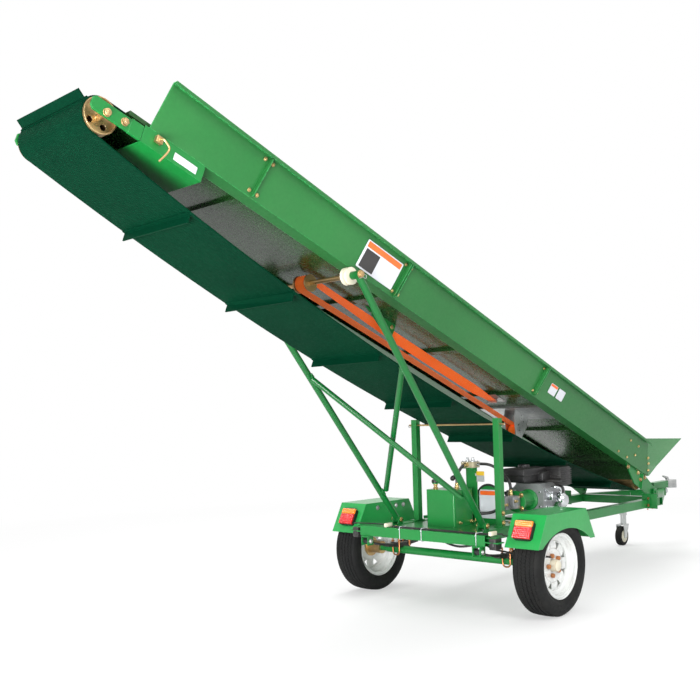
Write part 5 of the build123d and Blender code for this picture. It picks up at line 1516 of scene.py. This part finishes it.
knob = bmesh.new()
lever_low = chassis(0.020, 0.002, 0.746)
lever_way = (chassis(0.104, -0.020, 0.826) - lever_low).normalized()
turned(knob, [(0, -0.0165), (0.008, -0.0158), (0.0135, -0.011), (0.0158, -0.003), (0.0150, 0.005),
              (0.0115, 0.012), (0.0085, 0.017), (0.0075, 0.026), (0, 0.026)],
       facing(lever_low, lever_way), steps=20)
turned(knob, [(0, 0.0), (0.0225, 0.0), (0.0240, 0.003), (0.0240, 0.014), (0.0215, 0.019), (0.012, 0.0215),
              (0, 0.0215)], facing(chassis(-0.062, 0.074, 0.7215), UP), steps=20)
piece_from("knob_and_vent_cap", knob, BLACK_PLASTIC, "chassis", slot="cover_black")
print("valve dressed")

# %% [markdown]
# Brass and yellow-plated fittings close the tank: a filler neck under the cap, two plugs low on
# its side, and a short bent pipe that rises from one of them. The pump has one more plug. A
# hexagon is turned like a round part, with six steps, and its shank goes in the same profile.

# %% Tank and pump fittings
brasses = bmesh.new()
turned(brasses, [(0, 0.0), (0.0165, 0.0), (0.0165, 0.012), (0.0115, 0.013), (0.0115, 0.022),
                 (0.0150, 0.023), (0.0150, 0.033), (0, 0.033)], facing(chassis(-0.062, 0.074, 0.682), UP),
       steps=6)
for x, z in ((-0.055, 0.485), (0.060, 0.485)):
    turned(brasses, [(0, 0), (0.011, 0), (0.011, 0.008), (0.007, 0.009), (0.007, 0.018), (0, 0.018)],
           facing(chassis(x, -0.0918, z), -LEFT), steps=6)
run(brasses, [(0.060, -0.109, 0.485), (0.060, -0.125, 0.487), (0.061, -0.131, 0.500),
              (0.061, -0.131, 0.545)], 0.0062, 12)
peg(brasses, facing(chassis(0.061, -0.131, 0.545), UP), 0.0098, 0.014)
turned(brasses, [(0, 0), (0.0105, 0), (0.0105, 0.010), (0.007, 0.011), (0.007, 0.020), (0, 0.020)],
       facing(chassis(0.230, -0.3030, 0.600), -LEFT), steps=6)
piece_from("tank_and_pump_fittings", brasses, BRASS, "chassis", slot="zinc_yellow")
print("tank and pump fitted")

# %% [markdown]
# The pump is a cast body in three parts, and a green bell joins it to the engine. Castings have
# soft corners, so the body is made of rounded bricks. The bell is turned as a hollow ring, with
# a flange at each end and four webs along it.

# %% Pump and bell
BELL_PROFILE = [(0.020, 0.0), (0.066, 0.0), (0.066, 0.012), (0.050, 0.016), (0.0475, 0.024),
                (0.0475, 0.128), (0.050, 0.136), (0.066, 0.140), (0.066, 0.152), (0.020, 0.152)]
pump, bell_shape = bmesh.new(), bmesh.new()
block(pump, (0.078, 0.074, 0.080), (0.259, PUMP_Y, PUMP_Z), 0.010)
block(pump, (0.020, 0.076, 0.084), (0.208, PUMP_Y, PUMP_Z), 0.004)
block(pump, (0.003, 0.078, 0.086), (0.2205, PUMP_Y, PUMP_Z), 0.001)
peg(pump, facing(chassis(0.246, PUMP_Y, 0.622), UP), 0.018, 0.010, steps=24)
peg(pump, facing(chassis(0.199, PUMP_Y, 0.578), -AHEAD), 0.018, 0.003, steps=24)
turned(bell_shape, BELL_PROFILE, facing(chassis(0.300, PUMP_Y, PUMP_Z), AHEAD), steps=40, ring=True)
for k in range(4):
    turn = math.radians(90 * k)
    out = Vector((0, math.cos(turn), math.sin(turn)))
    brick(bell_shape, (0.004, 0.012, 0.112),
          facing(chassis(0.376, PUMP_Y, PUMP_Z) + 0.052 * out, AHEAD, out), 0.001)
piece_from("pump_body", pump, CAST_GREY, "chassis", replaced=("hydraulic_pump",), slot="pump_grey")
piece_from("pump_bell", bell_shape, MACHINE_GREEN, "chassis", replaced=("hydraulic_pump",),
           slot="machine_green")
print("pump made")

# %% [markdown]
# A round-topped guard plate stands between the tank and the pump. Its edge is wrapped in rubber,
# and a white plate with one band lies on it. The edge is a tube along the plate's own outline,
# which stays round all the way. Two small tags hang on the valve's bracket.

# %% Guard plate and tags
GUARD_MIDDLE = -0.148
GUARD_ROUND = 0.088
GUARD_X, GUARD_LOW, GUARD_TOP = 0.181, 0.53, 0.610
EDGE_STEPS = 20
edge = bmesh.new()
arc = [chassis(GUARD_X, GUARD_MIDDLE - GUARD_ROUND * math.cos(math.pi * k / EDGE_STEPS),
               GUARD_TOP + GUARD_ROUND * math.sin(math.pi * k / EDGE_STEPS)) for k in range(EDGE_STEPS + 1)]
tube(edge, [chassis(GUARD_X, GUARD_MIDDLE - GUARD_ROUND, GUARD_LOW)] + arc
     + [chassis(GUARD_X, GUARD_MIDDLE + GUARD_ROUND, GUARD_LOW)], 0.0075, 8)
piece_from("guard_rubber_edge", edge, HOSE_RUBBER, "chassis", slot="hose_black")
plate, plate_band = bmesh.new(), bmesh.new()
slab(plate, rounded(0.136, 0.176, 0.008, 3), 0.0015, facing(chassis(0.1778, GUARD_MIDDLE, 0.580), -AHEAD))
slab(plate_band, rounded(0.118, 0.026, 0.003, 3), 0.0010,
     facing(chassis(0.1762, GUARD_MIDDLE, 0.648), -AHEAD))
piece_from("guard_plate_white", plate, PLATE_WHITE, "chassis", slot="grey_plastic")
piece_from("guard_plate_band", plate_band, PLATE_ORANGE, "chassis", slot="strap_orange")

tag, tag_low = bmesh.new(), bmesh.new()
tag_at = facing(chassis(0.1425, -0.118, 0.770), -AHEAD)
slab(tag, rounded(0.056, 0.026, 0.003, 3), 0.0015, tag_at)
slab(tag_low, rounded(0.056, 0.038, 0.003, 3), 0.0015, tag_at @ Matrix.Translation((0, -0.032, 0)))
brick(tag_low, (0.040, 0.016, 0.004), tag_at @ Matrix.Translation((-0.020, -0.008, -0.0015)), 0.001)
piece_from("valve_tag_yellow", tag, PLATE_YELLOW, "chassis", slot="grey_plastic")
piece_from("valve_tag_grey", tag_low, GREY_PLASTIC, "chassis", slot="grey_plastic")
print("guard and tags set")

# %% [markdown]
# The bell, the rest posts, the leg feet and the deck are bolted to the chassis, and so are the
# spring hangers and the fenders. Each list gives a place and the way its bolt looks, and bolts of
# one finish go into one piece, which keeps the number of pieces small.

# %% Bolts on the chassis
BELL_CIRCLE = 0.057
bell = [(chassis(0.3, PUMP_Y + BELL_CIRCLE * math.cos(a), PUMP_Z + BELL_CIRCLE * math.sin(a)), -AHEAD)
        for a in [math.radians(45 + 90 * k) for k in range(4)]]
posts = [(chassis(0.055, side * 0.3305, z), side * LEFT) for side in (-1, 1) for z in (0.545, 0.488)]
feet = [(chassis(-0.143, side * (0.320 + way * 0.0325), 0.492), way * side * LEFT)
        for side in (-1, 1) for way in (-1, 1)]
deck = [(chassis(x, y, 0.461), UP) for x in (-0.25, 0.27) for y in (-0.24, 0.0, 0.24)]
bolts("frame_bolts", bell + posts + feet + deck, BRASS, "chassis", slot="zinc_yellow", size=1.1)
hangers = [(chassis(x, side * y, 0.371), way * side * LEFT) for x in (-0.326, 0.326) for side in (-1, 1)
           for y, way in ((0.4388, 1), (0.3852, -1))]
fender_bolts = [(chassis(x, side * 0.5472, 0.545), -side * LEFT) for side in (-1, 1)
                for x in (-0.067, 0.194, 0.12)]
bolts("hanger_and_fender_bolts", hangers + fender_bolts, ZINC, "chassis", size=1.15)
print("chassis bolts:", len(bell + posts + feet + deck + hangers + fender_bolts))

# %% [markdown]
# The engine is a small single-cylinder one. The frame gives its crankcase, cylinder and fins.
# Here it gets its black covers: the fuel tank with its seam, the duct, the ribbed filter case
# and the hose between them. Moulded covers are boxes with generous round edges, so a table of
# each block's size, place and bevel describes them best.

# %% Engine covers
FILTER_X, FILTER_Y = 0.687, -0.3425
FILTER_RIBS = 8
COVER_BLOCKS = [((0.158, 0.284, 0.088), (0.505, -0.212, 0.7430), 0.011),
                ((0.170, 0.296, 0.008), (0.505, -0.212, 0.7440), 0.003),
                ((0.090, 0.150, 0.012), (0.517, -0.235, 0.6960), 0.002),
                ((0.050, 0.150, 0.060), (0.605, -0.300, 0.7280), 0.010),
                ((0.110, 0.130, 0.120), (FILTER_X, FILTER_Y, 0.7270), 0.010),
                ((0.040, 0.060, 0.050), (0.648, -0.320, 0.6700), 0.008)]
covers, blacks = bmesh.new(), bmesh.new()
for size, place, bevel in COVER_BLOCKS:
    block(covers, size, place, bevel)
run(covers, [(0.575, -0.210, 0.745), (0.592, -0.215, 0.780), (0.640, -0.245, 0.778),
             (0.662, -0.280, 0.765)], 0.009, 10)
piece_from("engine_covers", covers, BLACK_PLASTIC, "chassis", replaced=("fuel_tank", "air_cleaner"),
           slot="cover_black")
turned(blacks, [(0, 0), (0.036, 0), (0.0375, 0.004), (0.0375, 0.020), (0.034, 0.0255), (0.018, 0.0275),
                (0, 0.0275)], facing(chassis(0.512, -0.200, 0.7800), UP), steps=12)
for k in range(FILTER_RIBS):
    block(blacks, (0.1180, 0.1390, 0.0060), (FILTER_X, FILTER_Y, 0.676 + 0.0135 * k), 0.0025)
block(blacks, (0.155, 0.020, 0.014), (0.545, -0.365, 0.704), 0.003)
run(blacks, [(0.600, -0.10, 0.640), (0.575, -0.085, 0.70), (0.520, -0.075, 0.690), (0.480, -0.12, 0.660)],
            0.0038)
for k in range(5):
    block(blacks, (0.006, 0.050, 0.005), (0.4270, -0.150, 0.712 + 0.007 * k), 0.001)
piece_from("engine_black_details", blacks, BLACK_PLASTIC, "chassis", slot="cover_black")
print("engine covers made")

# %% [markdown]
# The bright parts sit on the engine's near side: the slotted pull-start housing, the silencer in
# its pierced guard with its bent pipe, the carburettor block, the plug, and a control rod. The
# guard's holes are shown by low pegs in rows; true holes would cost many faces for their size.

# %% Engine details
RECOIL_SLOTS = 16
GUARD_ROWS, GUARD_HOLES = 4, 18
SILENCER_X, SILENCER_Y, SILENCER_Z = 0.602, -0.3695, 0.581
RECOIL_Y, RECOIL_Z = -0.260, 0.6145
SIDE_FACE, END_FACE = -0.3698, 0.4522
greys, brights = bmesh.new(), bmesh.new()
recoil_at = facing(chassis(0.742, RECOIL_Y, RECOIL_Z), AHEAD)
for k in range(RECOIL_SLOTS):
    turn = math.tau * k / RECOIL_SLOTS
    brick(greys, (0.030, 0.007, 0.006), recoil_at @ Matrix.Rotation(turn, 4, "Z")
          @ Matrix.Translation((0.084, 0, -0.0795)), 0.002)
turned(greys, [(0.0655, -0.002), (0.0665, 0.004), (0.060, 0.0075), (0.030, 0.0085), (0, 0.0088)],
       facing(chassis(0.792, RECOIL_Y, RECOIL_Z), AHEAD), steps=32)
turned(brights, [(0.0, 0.0), (0.0475, 0.0), (0.0485, 0.004), (0.0485, 0.052), (0.045, 0.060),
                 (0.030, 0.0735), (0.0, 0.0745)],
       facing(chassis(SILENCER_X, SILENCER_Y, SILENCER_Z), -LEFT), steps=32)
for row in range(GUARD_ROWS):
    for k in range(GUARD_HOLES):
        turn = math.tau * (k + 0.5 * (row % 2)) / GUARD_HOLES
        out = math.cos(turn) * AHEAD + math.sin(turn) * UP
        spot = chassis(SILENCER_X, -0.381 - 0.0125 * row, SILENCER_Z) + 0.0484 * out
        peg(greys, facing(spot, out), 0.0032, 0.0007)
run(brights, [(0.560, -0.345, 0.660), (0.566, -0.392, 0.664), (0.598, -0.404, 0.652),
              (0.602, -0.402, 0.620)], 0.0075, 12)
block(brights, (0.062, 0.012, 0.044), (0.500, -0.3742, 0.610), 0.003)
turned(brights, [(0, 0), (0.013, 0), (0.013, 0.010), (0.009, 0.012), (0.009, 0.026), (0.005, 0.028),
                 (0.005, 0.050), (0, 0.050)], facing(chassis(0.470, SIDE_FACE, 0.545), -LEFT), steps=6)
tube(brights, [chassis(0.455, -0.375, 0.668), chassis(0.470, -0.395, 0.640), chassis(0.520, -0.398, 0.636)],
     0.0030, 8)
for x, z in ((0.470, 0.585), (0.530, 0.545), (0.624, 0.660), (0.470, 0.652)):
    peg(brights, facing(chassis(x, SIDE_FACE, z), -LEFT), 0.007, 0.006, 0.007)
for y, z in ((-0.345, 0.55), (-0.345, 0.64), (-0.185, 0.55), (-0.175, 0.64)):
    peg(brights, facing(chassis(END_FACE, y, z), -AHEAD), 0.007, 0.006, 0.007)
piece_from("engine_grey_details", greys, CAST_GREY, "chassis", slot="engine_grey")
piece_from("engine_bright_details", brights, CHROME, "chassis", slot="zinc")
stripe, stripe_label = bmesh.new(), bmesh.new()
slab(stripe, rounded(0.125, 0.012, 0.002, 3), 0.001, facing(chassis(0.4262, -0.175, 0.768), -AHEAD))
slab(stripe_label, rounded(0.070, 0.008, 0.002, 3), 0.001, facing(chassis(0.4262, -0.150, 0.7545), -AHEAD))
piece_from("tank_stripe", stripe, PLATE_ORANGE, "chassis", slot="strap_orange")
piece_from("tank_stripe_label", stripe_label, GREY_PLASTIC, "chassis", slot="grey_plastic")
print("engine dressed")

# %% [markdown]
# Wires for the lamps run along the rear bar. They are clipped to the steel, so they are drawn
# where they are held: from a pale plug at each side, along the bar, under white ties. Two loops
# of hose hang below the bar. Nothing here swings, so a drawn route is enough for all of them.

# %% Wires, ties and hose loops
wires, plugs, ties, loops = bmesh.new(), bmesh.new(), bmesh.new(), bmesh.new()
for offset, lift in ((0.0, 0.0), (0.007, 0.004)):
    run(wires, [(-0.318 + offset, -0.475, 0.4705 + lift), (-0.316 + offset, -0.40, 0.4690 + lift),
                (-0.320 + offset, -0.25, 0.4700 + lift), (-0.317 + offset, -0.05, 0.4692 + lift),
                (-0.321 + offset, 0.12, 0.4700 + lift), (-0.316 + offset, 0.22, 0.4695 + lift)],
        0.0032, 8, 8)
for side, y in ((-1, -0.500), (1, 0.250)):
    block(plugs, (0.020, 0.062, 0.024), (-0.314, y, 0.4790), 0.005)
    run(wires, [(-0.316, y + side * 0.03, 0.478), (-0.312, y + side * 0.06, 0.480),
                (-0.285, side * 0.545, 0.470), (-0.262, side * 0.560, 0.462)], 0.0034)
for y in (-0.404, 0.143, -0.020):
    ring = [chassis(-0.305 + a * 0.0335, y, 0.435 + b * 0.0335) for a, b in
            ((-1, -0.9), (-0.9, -1), (0.9, -1), (1, -0.9), (1, 0.9), (0.9, 1.18), (-0.9, 1.25), (-1, 1.0),
             (-1, -0.9))]
    tube(ties, ring, 0.0022, 6)
    block(ties, (0.008, 0.007, 0.006), (-0.3395, y, 0.462), 0.001)
run(loops, [(-0.270, -0.130, 0.415), (-0.285, -0.165, 0.398), (-0.292, -0.250, 0.386),
            (-0.285, -0.330, 0.396), (-0.268, -0.370, 0.412)], 0.0065, 10, 8)
run(loops, [(-0.255, -0.410, 0.402), (-0.20, -0.43, 0.372), (-0.12, -0.46, 0.350), (-0.05, -0.49, 0.322),
            (-0.03, -0.505, 0.300)], 0.0050)
piece_from("lamp_wires", wires, WIRE_BLACK, "chassis", slot="hose_black")
piece_from("lamp_plugs", plugs, NYLON, "chassis", slot="nylon")
piece_from("wire_ties", ties, PLATE_WHITE, "chassis", slot="nylon")
piece_from("hose_loops", loops, HOSE_RUBBER, "chassis", slot="hose_black")
print("wires and hose loops run")

# %% [markdown]
# A black bracket sits beside each fender, and a plate is clamped to each rail near its front end.
# The axle hangs from its springs in bent clamp rods with a nut on each end. A rod is one soft
# route with its corners given by close pairs of places, which bends it as tightly as real ones.

# %% Brackets and clamps
brackets, clamps, plates = bmesh.new(), bmesh.new(), bmesh.new()
for side in (-1, 1):
    block(brackets, (0.044, 0.064, 0.062), (-0.300, side * 0.506, 0.420), 0.005)
    turned(brackets, [(0, 0), (0.016, 0), (0.016, 0.016), (0.010, 0.019), (0, 0.019)],
           facing(chassis(-0.3215, side * 0.506, 0.414), -AHEAD), steps=20)
    block(plates, (0.062, 0.052, 0.004), (-0.300, side * 0.492, 0.453), 0.001)
    block(plates, (0.118, 0.006, 0.110), (1.995, side * 0.353, 0.452), 0.002)
    for x in (-0.052, 0.052):
        leg_out, leg_in, low = side * 0.438, side * 0.386, 0.2515
        run(clamps, [(x, leg_out, 0.362), (x, leg_out, 0.300), (x, leg_out - side * 0.004, 0.262),
                     (x, side * 0.412, low), (x, leg_in + side * 0.004, 0.262), (x, leg_in, 0.300),
                     (x, leg_in, 0.362)], 0.0050, 8, 5)
        for y in (leg_out, leg_in):
            peg(clamps, facing(chassis(x, y, 0.334), UP), 0.0105, 0.009, 0.010)
    for x in (1.955, 2.035):
        tube(clamps, [chassis(x, side * 0.3535, 0.400), chassis(x, side * 0.3535, 0.390)], 0.0050, 8)
        for z in (0.475, 0.425):
            peg(clamps, facing(chassis(x, side * 0.356, z), side * LEFT), 0.0105, 0.009, 0.010)
piece_from("spring_brackets", brackets, SPRING_BLACK, "chassis", slot="spring_black")
piece_from("bracket_plates", plates, MACHINE_GREEN, "chassis", slot="machine_green")
piece_from("axle_and_rail_clamps", clamps, COPPER_ZINC, "chassis", slot="zinc_yellow")
print("brackets and clamps fitted")

# %% [markdown]
# The nose jack rolls on a small solid wheel. Its hub shows as a pale dished cheek on each side,
# turned as a ring so that the axle passes through it.

# %% Jack wheel cheeks
cheeks = bmesh.new()
for side in (-1, 1):
    turned(cheeks, [(0.0095, 0), (0.050, 0), (0.052, 0.0015), (0.048, 0.0040), (0.024, 0.0045),
                    (0.020, 0.0062), (0.0095, 0.0062)],
           facing(chassis(2.660, 0.205 + side * 0.0236, 0.080), side * LEFT), steps=28, ring=True)
piece_from("jack_wheel_cheeks", cheeks, NYLON, "jack_wheel", slot="nylon")
print("jack wheel dressed")

# %% [markdown]
# The leg shaft ends in washers and hairpins, and the rest rod in hairpins. The pins are bent
# wire, drawn as a route from the shaft's own axes, so one function serves both sizes.

# %% Pins on the shafts
def hairpin(made, place, out, down, size=1.0):
    """A bent wire pin through a shaft end."""
    aside = out.cross(down)
    route = [place - 0.014 * size * aside, place + 0.018 * size * aside,
             place + size * (0.024 * aside + 0.006 * down), place + size * (0.020 * aside + 0.014 * down),
             place + size * (0.004 * aside + 0.010 * down), place + size * (-0.012 * aside + 0.016 * down)]
    tube(made, smooth_route(route, 5), 0.0018, 6)


leg_pins, rod_pins, collars = bmesh.new(), bmesh.new(), bmesh.new()
for side in (-1, 1):
    end = trough(SHEAVE[0], side * 0.392, SHEAVE[1])
    turned(collars, [(0, -0.006), (0.0205, -0.006), (0.0205, 0.0), (0.0150, 0.0005), (0.0150, 0.010),
                     (0.012, 0.012), (0, 0.012)], facing(end, side * LEFT), steps=20)
    hairpin(leg_pins, end + side * 0.005 * LEFT, side * LEFT, -UP, 1.4)
    hairpin(rod_pins, chassis(0.055, side * 0.348, 1.074), side * LEFT, -UP, 1.0)
piece_from("leg_shaft_pins", leg_pins, ZINC, "legs", slot="zinc")
piece_from("leg_shaft_washers", collars, YELLOW_ZINC, "legs", slot="zinc_yellow")
piece_from("rest_rod_pins", rod_pins, ZINC, "chassis", slot="zinc")
print("pins fitted")
